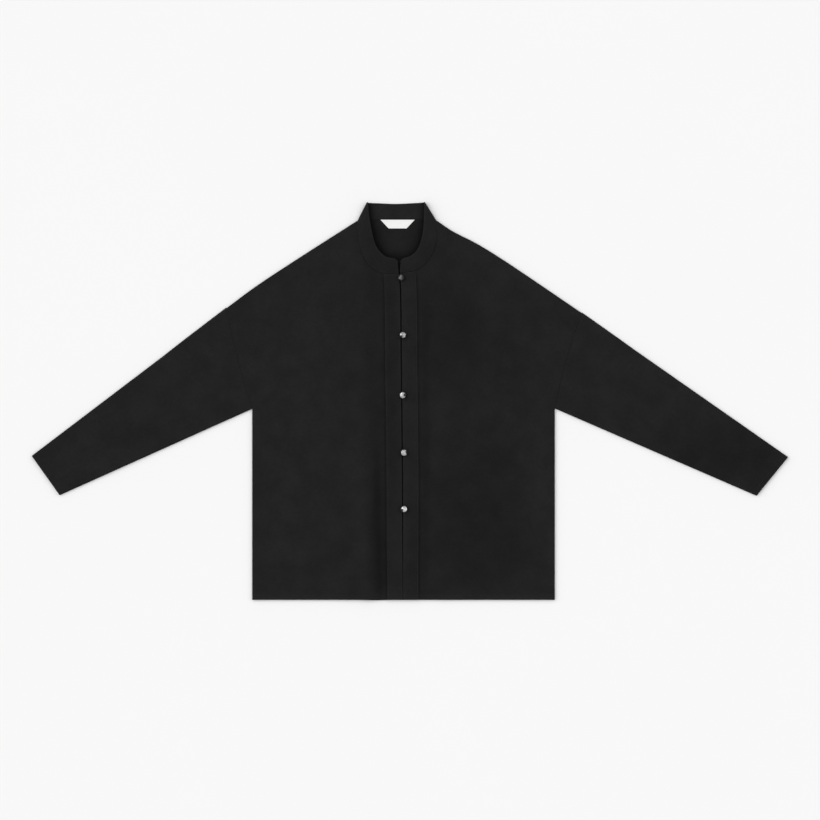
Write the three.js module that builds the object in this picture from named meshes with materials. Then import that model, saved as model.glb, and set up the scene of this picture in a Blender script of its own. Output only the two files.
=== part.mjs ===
// Stand-collar shirt with dropped shoulders, laid flat on its back with the sleeves spread.
// Millimetres. X runs to the wearer's left, Y to the collar, Z up from the surface it lies on.
// The origin is the middle of the garment's bounding box, on that surface.
import * as THREE from "three";

// Cloth walls and seams
const CLOTH = 1.2;
const COLLAR_WALL = 1.8;
const LABEL_WALL = 1.0;
const SEAM = 0.3;

// Heights of the upper face of the front above the surface it lies on
const LAID_HEIGHT = 4.2;
const NECK_RISE = 1.5;
const NECK_RISE_REACH = 110;

// Widths of the body's finished pieces
const PLACKET_WIDTH = 30;
const PLACKET_EDGE_DROP = 0.25;
const HEM_Y = -387.9;

// Share of each shoulder seam at which the fronts and the back stop short of the collar
const FRONT_SHOULDER_STOP = 0.992;
const BACK_SHOULDER_STOP = 0.982;

// Where each half of the garment turns, as it lies: x and y
const HALVES = {
  right: {
    hem: [-307.7, HEM_Y],
    underarm: [-307.7, -15.4],
    armholeTop: [-357.6, 181.4],
    shoulder: [
      [-300.1, 223.9],
      [-206.5, 285.5],
      [-136.3, 330.3],
    ],
    neck: [-102.2, 352.0],
    cuffTop: [-737.7, -106.9],
    cuffBottom: [-683.1, -183.9],
    armholeSag: -3,
  },
  left: {
    hem: [282.7, HEM_Y],
    underarm: [282.7, -14.7],
    armholeTop: [334.8, 172.0],
    shoulder: [
      [245.9, 232.6],
      [175.7, 279.4],
      [128.9, 307.9],
      [82.1, 331.9],
    ],
    neck: [50.0, 353.6],
    cuffTop: [737.7, -109.2],
    cuffBottom: [676.1, -184.9],
    armholeSag: -4.5,
  },
};

// The front opening from the hem to the collar: its middle and how far it gapes
const OPENING = [
  { y: HEM_Y, x: -13.7, gape: 0.8 },
  { y: -340, x: -13.8, gape: 1.0 },
  { y: -262, x: -14.2, gape: 1.9 },
  { y: -154, x: -14.3, gape: 2.6 },
  { y: -45, x: -15.4, gape: 2.7 },
  { y: 68, x: -16.7, gape: 2.8 },
  { y: 177, x: -17.4, gape: 2.9 },
  { y: 220, x: -18.4, gape: 2.8 },
  { y: 260, x: -20.7, gape: 2.8 },
];

// The collar's outer face over each front, from its front end to its side:
// where each section is sewn to the neckline, and where its free edge lies
const COLLAR_FRONTS = {
  right: [
    { sewnX: -22.1, sewnY: 249.2, sewnZ: 7.2, freeX: -24.8, freeY: 278.1, freeZ: 12.4 },
    { sewnX: -40.8, sewnY: 247.7, sewnZ: 7.3, freeX: -37.8, freeY: 278.3, freeZ: 13.2 },
    { sewnX: -60.3, sewnY: 251.6, sewnZ: 7.3, freeX: -48.6, freeY: 281.8, freeZ: 13.8 },
    { sewnX: -79.8, sewnY: 265.2, sewnZ: 7.3, freeX: -58.7, freeY: 290.7, freeZ: 14.2 },
    { sewnX: -93.4, sewnY: 286.7, sewnZ: 7.2, freeX: -67.1, freeY: 304.2, freeZ: 14.2 },
    { sewnX: -99.6, sewnY: 310.1, sewnZ: 6.9, freeX: -72.9, freeY: 323.7, freeZ: 13.6 },
    { sewnX: -102.0, sewnY: 328.5, sewnZ: 6.5, freeX: -77.4, freeY: 346.0, freeZ: 12.4 },
    { sewnX: -102.6, sewnY: 342.0, sewnZ: 6.0, freeX: -80.6, freeY: 368.4, freeZ: 11.0 },
  ],
  left: [
    { sewnX: -19.3, sewnY: 249.8, sewnZ: 7.2, freeX: -17.4, freeY: 277.7, freeZ: 12.4 },
    { sewnX: -2.7, sewnY: 251.6, sewnZ: 7.3, freeX: -7.6, freeY: 278.9, freeZ: 13.2 },
    { sewnX: 16.8, sewnY: 257.8, sewnZ: 7.3, freeX: 2.1, freeY: 282.8, freeZ: 13.8 },
    { sewnX: 33.3, sewnY: 272.0, sewnZ: 7.3, freeX: 11.9, freeY: 290.9, freeZ: 14.2 },
    { sewnX: 45.4, sewnY: 291.5, sewnZ: 7.2, freeX: 19.3, freeY: 304.2, freeZ: 14.2 },
    { sewnX: 51.3, sewnY: 312.0, sewnZ: 6.9, freeX: 24.8, freeY: 324.7, freeZ: 13.6 },
    { sewnX: 52.4, sewnY: 329.5, sewnZ: 6.5, freeX: 27.2, freeY: 346.5, freeZ: 12.4 },
    { sewnX: 51.9, sewnY: 343.0, sewnZ: 6.0, freeX: 28.4, freeY: 369.0, freeZ: 11.0 },
  ],
};

// Where the collar folds over at each side, as it lies: the fold's line and how far it stands up
const COLLAR_SIDES = {
  right: { sewn: [-102.4, 351.2], free: [-84.0, 387.4], sewnHeight: 5.6, freeHeight: 9.4 },
  left: { sewn: [50.9, 353.0], free: [29.2, 388.0], sewnHeight: 5.6, freeHeight: 9.4 },
};
const COLLAR_FOLD_ANGLES = [50, 0, -50, -90].map(THREE.MathUtils.degToRad);

// The back of the collar lies on the surface, between its two side folds
const COLLAR_BACK = [
  { sewnX: -62.2, sewnY: 354.7, freeX: -54.4, freeY: 385.9 },
  { sewnX: -26.1, sewnY: 355.3, freeX: -26.1, freeY: 384.9 },
  { sewnX: 9.9, sewnY: 355.3, freeX: 2.1, freeY: 386.3 },
];
const COLLAR_ROWS = 4;
const COLLAR_ROLL = 0.9;
const COLLAR_CORNER = { sections: 0.83, drop: 0.24 };
const FRONT_NECK_SECTIONS = 8;

// Soft ridges and hollows of the laid cloth: a line, its half width and its rise
const FOLDS = [
  { x1: -63, y1: -110, x2: -54, y2: -420, wide: 9, rise: -1.3 },
  { x1: -90, y1: -150, x2: -84, y2: -430, wide: 14, rise: 0.9 },
  { x1: 30, y1: 190, x2: 34, y2: -430, wide: 12, rise: -0.7 },
  { x1: 70, y1: -60, x2: 82, y2: -430, wide: 22, rise: 0.5 },
  { x1: -285, y1: -40, x2: -150, y2: 90, wide: 20, rise: 0.8 },
  { x1: -240, y1: -130, x2: -215, y2: -380, wide: 24, rise: -0.5 },
  { x1: -160, y1: 250, x2: -120, y2: 60, wide: 22, rise: 0.5 },
  { x1: 258, y1: -35, x2: 140, y2: 80, wide: 20, rise: 0.8 },
  { x1: 205, y1: -120, x2: 175, y2: -370, wide: 26, rise: -0.5 },
  { x1: 110, y1: 240, x2: 90, y2: 60, wide: 22, rise: 0.5 },
  { x1: -340, y1: 60, x2: -520, y2: -30, wide: 16, rise: 0.7 },
  { x1: -430, y1: -30, x2: -640, y2: -130, wide: 12, rise: -0.5 },
  { x1: 318, y1: 55, x2: 500, y2: -25, wide: 16, rise: 0.7 },
  { x1: 420, y1: -30, x2: 640, y2: -135, wide: 12, rise: -0.5 },
];

// Buttons: how far down the opening each one is, its head and how it leans
const BUTTONS = [
  { y: 241.0, across: 11.4, leanX: -9, leanY: 6 },
  { y: 127.9, across: 12.7, leanX: 5, leanY: -8 },
  { y: 11.7, across: 12.7, leanX: -9, leanY: 5 },
  { y: -100.4, across: 12.7, leanX: 7, leanY: 4 },
  { y: -211.0, across: 12.7, leanX: 4, leanY: -6 },
];
const STEM_INSET = 1.6;
const STEM_HEIGHT = 3.4;
const STEM_RADIUS = 1.5;

// The loops' cord, how far it starts from the opening, and its play round a stem
const LOOP_CORD = 1.2;
const LOOP_START = 2.4;
const LOOP_PLAY = 0.35;

// The neck label: a strip with its ends folded behind at 45 degrees
const LABEL = { middle: -24.0, top: 353.6, height: 17, topWidth: 67, bottomWidth: 35 };

// How finely the pieces are divided
const FOLD_ANGLES = [0, 45, 90].map(THREE.MathUtils.degToRad);
const FRONT_COLUMNS = [190, 150, 115, 84, 68, 54, 40, 30, 15, 0];
const FRONT_REACH = 232;
const BACK_COLUMNS = 14;
const SHOULDER_SAMPLES = 80;
const ON_EDGE = 0.06;
const PLACKET_ROWS = 24;
const PLACKET_COLUMNS = [0, 0.08, 0.5, 0.92, 1];
const SLEEVE_TOP_COLUMNS = 6;
const SLEEVE_BOTTOM_COLUMNS = 4;
const SLEEVE_STATIONS = [0, 0.03, 0.09, 0.18, 0.28, 0.38, 0.48, 0.58, 0.68, 0.78, 0.89, 1];

const COLOURS = {
  cloth: new THREE.MeshStandardMaterial({ color: 0x222222, roughness: 0.95, metalness: 0 }),
  label: new THREE.MeshStandardMaterial({ color: 0xf4f3ee, roughness: 0.6, metalness: 0 }),
  metal: new THREE.MeshStandardMaterial({ color: 0xb4b4b4, roughness: 0.25, metalness: 1 }),
};

const lerp = THREE.MathUtils.lerp;
const mix = (a, b, t) => [lerp(a[0], b[0], t), lerp(a[1], b[1], t)];
const smooth = (t) => THREE.MathUtils.smoothstep(t, 0, 1);
const evenly = (count) => Array.from({ length: count + 1 }, (_, i) => i / count);

// Distance from a point to a segment, and how far along it the nearest point is
function toSegment(x, y, a, b) {
  const dx = b[0] - a[0];
  const dy = b[1] - a[1];
  const along = THREE.MathUtils.clamp(((x - a[0]) * dx + (y - a[1]) * dy) / (dx * dx + dy * dy), 0, 1);
  return { gap: Math.hypot(x - a[0] - along * dx, y - a[1] - along * dy), along };
}

function toPath(x, y, points) {
  let gap = Infinity;
  for (let i = 1; i < points.length; i++) gap = Math.min(gap, toSegment(x, y, points[i - 1], points[i]).gap);
  return gap;
}

// A smooth plane curve through points, read by a share from 0 to 1
function curveThrough(points) {
  const curve = new THREE.CatmullRomCurve3(points.map(([x, y]) => new THREE.Vector3(x, y, 0)));
  return (t) => {
    const p = curve.getPointAt(THREE.MathUtils.clamp(t, 0, 1));
    return [p.x, p.y];
  };
}

function samples(at, count) {
  return Array.from({ length: count + 1 }, (_, i) => at(i / count));
}

// The y of a path at an x, where the path runs one way across
function pathY(path, x) {
  const way = Math.sign(path[path.length - 1][0] - path[0][0]);
  const found = path.findIndex((p) => way * (p[0] - x) >= 0);
  const next = found < 0 ? path.length - 1 : Math.max(found, 1);
  const [a, b] = [path[next - 1], path[next]];
  return lerp(a[1], b[1], THREE.MathUtils.clamp((x - a[0]) / (b[0] - a[0]), 0, 1));
}

// Row of a table at a height y, between its rows
function opening(y) {
  const top = OPENING.findIndex((row) => row.y >= y);
  const high = top < 0 ? OPENING.length - 1 : Math.max(top, 1);
  const a = OPENING[high - 1];
  const b = OPENING[high];
  const t = THREE.MathUtils.clamp((y - a.y) / (b.y - a.y), 0, 1);
  return { x: lerp(a.x, b.x, t), gape: lerp(a.gape, b.gape, t) };
}

// Sections round a side fold, from over the front to the back that lies on the surface
function collarFold({ sewn, free, sewnHeight, freeHeight }, towardsMiddle) {
  const way = new THREE.Vector2(free[0] - sewn[0], free[1] - sewn[1]).normalize();
  const inX = towardsMiddle * Math.abs(way.y);
  const inY = -Math.abs(way.x);
  const place = ([x, y], radius, angle) => {
    const inwards = radius * (1 - Math.cos(angle));
    return new THREE.Vector3(x + inX * inwards, y + inY * inwards, radius * (1 + Math.sin(angle)));
  };
  return COLLAR_FOLD_ANGLES.map((angle) => ({
    sewn: place(sewn, sewnHeight / 2, angle),
    free: place(free, freeHeight / 2, angle),
  }));
}

// The collar's sections all the way round, from the wearer's right end to the left end
const ringSection = ({ sewnX, sewnY, sewnZ = 0, freeX, freeY, freeZ = 0 }) => ({
  sewn: new THREE.Vector3(sewnX, sewnY, sewnZ),
  free: new THREE.Vector3(freeX, freeY, freeZ),
});
const COLLAR_SECTIONS = [
  ...COLLAR_FRONTS.right.map(ringSection),
  ...collarFold(COLLAR_SIDES.right, 1),
  ...COLLAR_BACK.map(ringSection),
  ...collarFold(COLLAR_SIDES.left, -1).reverse(),
  ...COLLAR_FRONTS.left.map(ringSection).reverse(),
];
const lastSection = COLLAR_SECTIONS.length - 1;
const sewnLine = new THREE.CatmullRomCurve3(COLLAR_SECTIONS.map((s) => s.sewn), false, "centripetal");
const freeLine = new THREE.CatmullRomCurve3(COLLAR_SECTIONS.map((s) => s.free), false, "centripetal");

// Two steps to a section, and closer at the rounded front ends
const halfSections = Array.from({ length: 2 * lastSection + 1 }, (_, i) => i / 2);
const COLLAR_STATIONS = [0, 0.2, ...halfSections.slice(1, -1), lastSection - 0.2, lastSection];
const NECK_SHARES = COLLAR_STATIONS.filter((s) => s <= FRONT_NECK_SECTIONS).map((s) => s / FRONT_NECK_SECTIONS);
const BACK_NECK_SECTION = COLLAR_FRONTS.right.length + COLLAR_FOLD_ANGLES.length - 1;

// A neckline runs beside the collar's sewn edge between two of its sections, on the body's side
function neckline(from, to, away) {
  return (t) => {
    const at = lerp(from, to, t) / lastSection;
    const p = sewnLine.getPoint(at);
    const d = sewnLine.getTangent(at);
    const flat = Math.hypot(d.x, d.y);
    return [p.x - (away * d.y) / flat, p.y + (away * d.x) / flat];
  };
}

const NECKLINES = {
  right: neckline(0, FRONT_NECK_SECTIONS, SEAM),
  left: neckline(lastSection, lastSection - FRONT_NECK_SECTIONS, SEAM),
};
const PLACKET_HEADS = {
  right: neckline(0, FRONT_NECK_SECTIONS, 2 * SEAM),
  left: neckline(lastSection, lastSection - FRONT_NECK_SECTIONS, 2 * SEAM),
};
const BACK_NECKLINE = neckline(BACK_NECK_SECTION, lastSection - BACK_NECK_SECTION, -SEAM);

function shoulderLine(half) {
  return curveThrough([half.armholeTop, ...half.shoulder, half.neck]);
}

function armholeLine(half) {
  return (t) => {
    const [x, y] = mix(half.underarm, half.armholeTop, t);
    return [x + half.armholeSag * Math.sin(Math.PI * t), y];
  };
}

// The edges where the cloth turns from the front to the back: shoulders, sleeves and sides
const FOLD_EDGES = Object.values(HALVES).flatMap((half) => [
  [...samples(shoulderLine(half), SHOULDER_SAMPLES).reverse(), half.cuffTop],
  [half.cuffBottom, half.underarm, half.hem],
]);
const NECK_PATHS = Object.values(NECKLINES).map((line) => samples(line, 16));

function foldShare({ x1, y1, x2, y2, wide }, x, y) {
  const { gap, along } = toSegment(x, y, [x1, y1], [x2, y2]);
  return Math.exp(-((gap / wide) ** 2)) * smooth(Math.min(1, 3 * along + 0.25));
}

// Height of the garment's upper face, away from its folded edges
function laidHeight(x, y) {
  const neck = Math.min(...NECK_PATHS.map((path) => toPath(x, y, path)));
  let height = LAID_HEIGHT + NECK_RISE * smooth(1 - neck / NECK_RISE_REACH);
  for (const fold of FOLDS) height += fold.rise * foldShare(fold, x, y);
  return height;
}

// Half of a round edge: 0 at the fold, 1 where the cloth lies flat
function roundEdge(x, y, radius) {
  const gap = Math.min(...FOLD_EDGES.map((path) => toPath(x, y, path)));
  const left = 1 - Math.min(gap / radius, 1);
  return { share: Math.sqrt(1 - left * left), onEdge: gap < ON_EDGE };
}

function upperFace([x, y], seam = 0) {
  const height = laidHeight(x, y);
  const { share, onEdge } = roundEdge(x, y, height / 2);
  const low = height / 2 + seam / 2;
  return Object.assign(new THREE.Vector3(x, y, low + (height - low) * share), { onEdge });
}

function lowerFace([x, y], seam = 0) {
  const height = laidHeight(x, y);
  const { share, onEdge } = roundEdge(x, y, height / 2);
  return Object.assign(new THREE.Vector3(x, y, (height / 2 - seam / 2) * (1 - share)), { onEdge });
}

// Turns a normal into the upright plane of a cut edge that runs in a direction
function keepUpright(normal, direction) {
  const away = new THREE.Vector3(-direction.y, direction.x, 0).normalize();
  if (!normal.equals(away)) normal.addScaledVector(away, -normal.dot(away));
}

// Unit normals of a grid of points. A grid whose rows are closed rings has them in the rings' own planes.
function gridNormals(grid, closed, upright) {
  const last = grid.length - 1;
  return grid.map((row, i) => {
    const n = row.length;
    const chord = new THREE.Vector3().subVectors(row[n >> 1], row[0]);
    return row.map((point, j) => {
      const before = closed ? row[(j + n - 1) % n] : row[Math.max(j - 1, 0)];
      const after = closed ? row[(j + 1) % n] : row[Math.min(j + 1, n - 1)];
      const across = new THREE.Vector3().subVectors(after, before);
      const along = new THREE.Vector3().subVectors(grid[Math.min(i + 1, last)][j], grid[Math.max(i - 1, 0)][j]);
      if (closed) along.projectOnVector(new THREE.Vector3(-chord.y, chord.x, 0));
      const normal = new THREE.Vector3().crossVectors(across, along).normalize();
      if (!upright) return normal;
      if (point.onEdge) normal.z = 0;
      else if (j === 0 || j === n - 1) keepUpright(normal, along);
      if (i === 0 || i === last) keepUpright(normal, across);
      return normal.normalize();
    });
  });
}

// A closed wall: the grid's points are its outer face, and its inner face lies a thickness behind them.
// An open grid gets a rim all round; a closed one is a tube, with a rim at each end.
function clothWall(grid, thickness, { closed = false, flip = false, upright = false } = {}) {
  const rows = grid.length;
  const columns = grid[0].length;
  const side = flip ? -1 : 1;
  const normals = gridNormals(grid, closed, upright);
  const inner = grid.map((row, i) => row.map((p, j) => p.clone().addScaledVector(normals[i][j], -side * thickness)));
  const points = [...grid.flat(), ...inner.flat()];
  const outerAt = (i, j) => i * columns + (j % columns);
  const innerAt = (i, j) => rows * columns + outerAt(i, j);
  const faces = [];
  const quad = (a, b, c, d) => {
    if (flip) faces.push(a, c, b, a, d, c);
    else faces.push(a, b, c, a, c, d);
  };
  const spans = closed ? columns : columns - 1;
  for (let i = 0; i < rows - 1; i++) {
    for (let j = 0; j < spans; j++) {
      quad(outerAt(i, j), outerAt(i, j + 1), outerAt(i + 1, j + 1), outerAt(i + 1, j));
      quad(innerAt(i, j), innerAt(i + 1, j), innerAt(i + 1, j + 1), innerAt(i, j + 1));
    }
    if (!closed) {
      quad(outerAt(i, 0), outerAt(i + 1, 0), innerAt(i + 1, 0), innerAt(i, 0));
      quad(outerAt(i + 1, spans), outerAt(i, spans), innerAt(i, spans), innerAt(i + 1, spans));
    }
  }
  for (let j = 0; j < spans; j++) {
    quad(outerAt(0, j + 1), outerAt(0, j), innerAt(0, j), innerAt(0, j + 1));
    quad(outerAt(rows - 1, j), outerAt(rows - 1, j + 1), innerAt(rows - 1, j + 1), innerAt(rows - 1, j));
  }
  const geometry = new THREE.BufferGeometry();
  geometry.setAttribute("position", new THREE.Float32BufferAttribute(points.flatMap((p) => [p.x, p.y, p.z]), 3));
  geometry.setIndex(faces);
  return geometry;
}

function mesh(name, geometry, material) {
  const made = new THREE.Mesh(geometry, material);
  made.name = name;
  return made;
}

// The outer edge of a body panel, in stages: 0 hem, 1 underarm, 2 top of the armhole, 3 neck
function outerEdge(half, neckStop) {
  const shoulder = shoulderLine(half);
  const armhole = armholeLine(half);
  return (s) => {
    if (s <= 1) return mix(half.hem, half.underarm, s);
    if (s <= 2) return armhole(s - 1);
    return shoulder((s - 2) * neckStop);
  };
}

// The inner edge of a front, in stages: 0 hem, 1 underarm, 2 armhole top, 3 neck corner, 4 neck
function innerEdge(name) {
  const side = name === "right" ? -1 : 1;
  const levels = [HEM_Y, -15, 120, 0];
  const necklineAt = NECKLINES[name];
  levels[3] = necklineAt(0)[1];
  return (s) => {
    if (s > 3) return necklineAt(s - 3);
    const stage = Math.min(Math.floor(s), 2);
    const y = lerp(levels[stage], levels[stage + 1], s - stage);
    const { x, gape } = opening(y);
    return [x + (side * gape) / 2, y];
  };
}

function frontStages(half) {
  return [
    { shares: evenly(10), outer: [0, 1], inner: [0, 1] },
    { shares: ringShares(half, 0, SLEEVE_TOP_COLUMNS).toReversed().map((t) => 1 - t), outer: [1, 2], inner: [1, 2] },
    { shares: evenly(5), outer: [2, 2.06], inner: [2, 3] },
    { shares: NECK_SHARES, outer: [2.06, 3], inner: [3, 4] },
  ];
}

// The rows of a panel, stage by stage; a stage's last row is the next one's first
function stageRows(stages) {
  return stages.flatMap(({ shares, outer, inner }, i) =>
    shares.slice(i ? 1 : 0).map((t) => ({ outer: lerp(...outer, t), inner: lerp(...(inner ?? outer), t) })),
  );
}

// Points from a folded edge inwards, spaced so that the round edge gets its arc
function foldOffsets(outer, inner, tangent, limit) {
  const dx = inner[0] - outer[0];
  const dy = inner[1] - outer[1];
  const length = Math.hypot(dx, dy);
  const sine = Math.abs(tangent[0] * dy - tangent[1] * dx) / (length * Math.hypot(...tangent));
  const radius = laidHeight(...outer) / 2;
  return FOLD_ANGLES.map((angle) => Math.min((radius * (1 - Math.cos(angle))) / (Math.max(sine, 0.3) * length), limit));
}

function tangentOf(edge, s) {
  const step = 0.01;
  const a = edge(Math.max(s - step, 0));
  const b = edge(s + step);
  return [b[0] - a[0], b[1] - a[1]];
}

function frontPanel(name) {
  const half = HALVES[name];
  const outer = outerEdge(half, FRONT_SHOULDER_STOP);
  const inner = innerEdge(name);
  const grid = stageRows(frontStages(half)).map((row) => {
    const a = outer(row.outer);
    const b = inner(row.inner);
    const edge = foldOffsets(a, b, tangentOf(outer, row.outer), 0.2);
    const start = edge[edge.length - 1];
    const shares = [...edge, ...FRONT_COLUMNS.map((x) => lerp(1, start, x / FRONT_REACH))];
    return shares.map((t) => upperFace(mix(a, b, t), SEAM));
  });
  return clothWall(grid, CLOTH, { flip: name === "left", upright: true });
}

function backStages() {
  return [
    { shares: evenly(7), outer: [0, 1] },
    { shares: ringShares(HALVES.right, 0, SLEEVE_BOTTOM_COLUMNS).toReversed().map((t) => 1 - t), outer: [1, 2] },
    { shares: evenly(7), outer: [2, 3] },
  ];
}

function backPanel() {
  const edges = [HALVES.right, HALVES.left].map((half) => outerEdge(half, BACK_SHOULDER_STOP));
  const rows = stageRows(backStages());
  const grid = rows.map((row, i) => {
    const [a, b] = edges.map((edge) => edge(row.outer));
    const first = foldOffsets(a, b, tangentOf(edges[0], row.outer), 0.1);
    const second = foldOffsets(b, a, tangentOf(edges[1], row.outer), 0.1);
    const from = first[first.length - 1];
    const to = 1 - second[second.length - 1];
    const middle = Array.from({ length: BACK_COLUMNS - 1 }, (_, i) => lerp(from, to, (i + 1) / BACK_COLUMNS));
    const shares = [...first, ...middle, ...second.map((t) => 1 - t).reverse()];
    const neck = i === rows.length - 1 ? [a, ...samples(BACK_NECKLINE, 8), b] : [a, b];
    return shares.map((t) => {
      const [x, y] = mix(a, b, t);
      return lowerFace([x, t > from && t < to ? pathY(neck, x) : y], SEAM);
    });
  });
  return clothWall(grid, CLOTH, { flip: true, upright: true });
}

// Shares of a sleeve's width from its top fold to its bottom fold, closest at the folds
function ringShares(half, s, between) {
  const top = mix(half.armholeTop, half.cuffTop, s);
  const bottom = mix(half.underarm, half.cuffBottom, s);
  const along = [half.cuffTop[0] - half.armholeTop[0], half.cuffTop[1] - half.armholeTop[1]];
  const edge = foldOffsets(top, bottom, along, 0.1);
  const start = edge[edge.length - 1];
  const middle = evenly(between + 1).slice(1, -1);
  return [...edge, ...middle.map((t) => lerp(start, 1 - start, t)), ...edge.toReversed().map((t) => 1 - t)];
}

// A sleeve: rings from the armhole to the cuff, each a flattened loop with round folds
function sleeve(name) {
  const half = HALVES[name];
  const armhole = armholeLine(half);
  const grid = SLEEVE_STATIONS.map((s) => {
    const top = mix(half.armholeTop, half.cuffTop, s);
    const bottom = mix(half.underarm, half.cuffBottom, s);
    const place = (t) => {
      const line = mix(top, bottom, t);
      const sag = armhole(1 - t)[0] - mix(half.armholeTop, half.underarm, t)[0];
      const away = name === "right" ? -SEAM : SEAM;
      return [line[0] + sag * (1 - s) ** 2 + away * (1 - s), line[1]];
    };
    const over = ringShares(half, s, SLEEVE_TOP_COLUMNS);
    const under = ringShares(half, s, SLEEVE_BOTTOM_COLUMNS).slice(1, -1).reverse();
    return [...over.map((t) => upperFace(place(t))), ...under.map((t) => lowerFace(place(t)))];
  });
  return clothWall(grid, CLOTH, { closed: true, flip: name === "right" });
}

// A placket lies on its front, made from the same height moved up by a seam's gap and its own wall
function placket(name) {
  const side = name === "right" ? -1 : 1;
  const grid = evenly(PLACKET_ROWS).map((share) => {
    return PLACKET_COLUMNS.map((t) => {
      const across = (1 - t) * PLACKET_WIDTH;
      const y = lerp(HEM_Y, placketTop(name, across), share);
      const { x, gape } = opening(y);
      const at = x + side * (gape / 2 + across);
      const drop = t === 0 || t === 1 ? PLACKET_EDGE_DROP : 0;
      return new THREE.Vector3(at, y, placketHeight(at, y) - drop);
    });
  });
  return clothWall(grid, CLOTH, { flip: name === "left", upright: true });
}

// The neckline's height where it crosses a placket, this far from the opening
function placketTop(name, across) {
  const side = name === "right" ? -1 : 1;
  const head = samples(PLACKET_HEADS[name], 32).slice(0, 16);
  return pathY(head, opening(head[0][1]).x + side * across);
}

function collar() {
  const point = new THREE.Vector3();
  const grid = COLLAR_STATIONS.map((section) => {
    const sewn = sewnLine.getPoint(section / lastSection);
    const free = freeLine.getPoint(section / lastSection);
    const fromEnd = Math.min(section, lastSection - section) / COLLAR_CORNER.sections;
    const short = fromEnd < 1 ? COLLAR_CORNER.drop * (1 - Math.sqrt(1 - (1 - fromEnd) ** 2)) : 0;
    const roll = COLLAR_ROLL * smooth(sewn.z / COLLAR_FRONTS.right[0].sewnZ);
    return evenly(COLLAR_ROWS).map((t) => {
      point.lerpVectors(sewn, free, t * (1 - short));
      point.z = Math.max(point.z + roll * Math.sin(Math.PI * t), 0);
      return point.clone();
    });
  });
  return clothWall(grid, COLLAR_WALL);
}

function label() {
  const { middle, top, height, topWidth, bottomWidth } = LABEL;
  const outline = new THREE.Shape([
    new THREE.Vector2(middle - topWidth / 2, top),
    new THREE.Vector2(middle - bottomWidth / 2, top - height),
    new THREE.Vector2(middle + bottomWidth / 2, top - height),
    new THREE.Vector2(middle + topWidth / 2, top),
  ]);
  return new THREE.ExtrudeGeometry(outline, { depth: LABEL_WALL, bevelEnabled: false });
}

// A domed button with a raised rim, on a short stem; its foot is at the origin
function buttonProfile(across) {
  const r = across / 2;
  const stem = STEM_RADIUS;
  return [
    [0, 0],
    [stem, 0],
    [stem * 0.8, STEM_HEIGHT - 0.2],
    [r * 0.6, STEM_HEIGHT],
    [r * 0.94, STEM_HEIGHT + r * 0.1],
    [r, STEM_HEIGHT + r * 0.22],
    [r * 0.94, STEM_HEIGHT + r * 0.33],
    [r * 0.7, STEM_HEIGHT + r * 0.44],
    [r * 0.36, STEM_HEIGHT + r * 0.5],
    [0, STEM_HEIGHT + r * 0.52],
  ].map(([x, y]) => new THREE.Vector2(x, y));
}

function placketHeight(x, y) {
  return laidHeight(x, y) + SEAM + CLOTH;
}

function button(row, index) {
  const geometry = new THREE.LatheGeometry(buttonProfile(row.across), 12).rotateX(Math.PI / 2);
  const made = mesh(`button_${index + 1}`, geometry, COLOURS.metal);
  const { x, gape } = opening(row.y);
  const at = x + gape / 2 + STEM_INSET;
  const tilt = THREE.MathUtils.degToRad(Math.hypot(row.leanX, row.leanY));
  const lift = STEM_RADIUS * Math.sin(tilt);
  made.position.set(at, row.y, placketHeight(at, row.y) + SEAM + lift);
  made.rotation.set(THREE.MathUtils.degToRad(row.leanY), THREE.MathUtils.degToRad(row.leanX), 0);
  return made;
}

// The cord loop that holds a button: both ends lie on the wearer's right placket
function buttonLoop(row, index) {
  const { x, gape } = opening(row.y);
  const stemX = x + gape / 2 + STEM_INSET;
  const reach = STEM_RADIUS + LOOP_CORD / 2 + LOOP_PLAY;
  const startX = x - gape / 2 - LOOP_START;
  const z = Math.max(placketHeight(startX, row.y), placketHeight(stemX, row.y)) + SEAM + LOOP_CORD / 2;
  const route = [
    [startX, -reach],
    [(startX + stemX) / 2, -reach],
    [stemX, -reach],
    [stemX + reach * 0.71, -reach * 0.71],
    [stemX + reach, 0],
    [stemX + reach * 0.71, reach * 0.71],
    [stemX, reach],
    [(startX + stemX) / 2, reach],
    [startX, reach],
  ].map(([px, py]) => new THREE.Vector3(px, row.y + py, z));
  const ring = new THREE.Shape().absarc(0, 0, LOOP_CORD / 2, 0, 2 * Math.PI);
  const geometry = new THREE.ExtrudeGeometry(ring, {
    steps: 12,
    curveSegments: 3,
    extrudePath: new THREE.CatmullRomCurve3(route),
  });
  return mesh(`loop_${index + 1}`, geometry, COLOURS.cloth);
}

const garment = new THREE.Group();
garment.add(mesh("back", backPanel(), COLOURS.cloth));
for (const name of ["right", "left"]) {
  garment.add(mesh(`front_${name}`, frontPanel(name), COLOURS.cloth));
  garment.add(mesh(`placket_${name}`, placket(name), COLOURS.cloth));
  garment.add(mesh(`sleeve_${name}`, sleeve(name), COLOURS.cloth));
}
garment.add(mesh("collar", collar(), COLOURS.cloth));
const neckLabel = mesh("neck_label", label(), COLOURS.label);
neckLabel.position.z = CLOTH + SEAM;
garment.add(neckLabel);
garment.add(...BUTTONS.map(button), ...BUTTONS.map(buttonLoop));

export default garment;
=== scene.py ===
import math

import bmesh
import bpy
import numpy as np
from bpy.props import FloatProperty, FloatVectorProperty, IntProperty, PointerProperty
from mathutils import Matrix, Vector, noise


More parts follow.
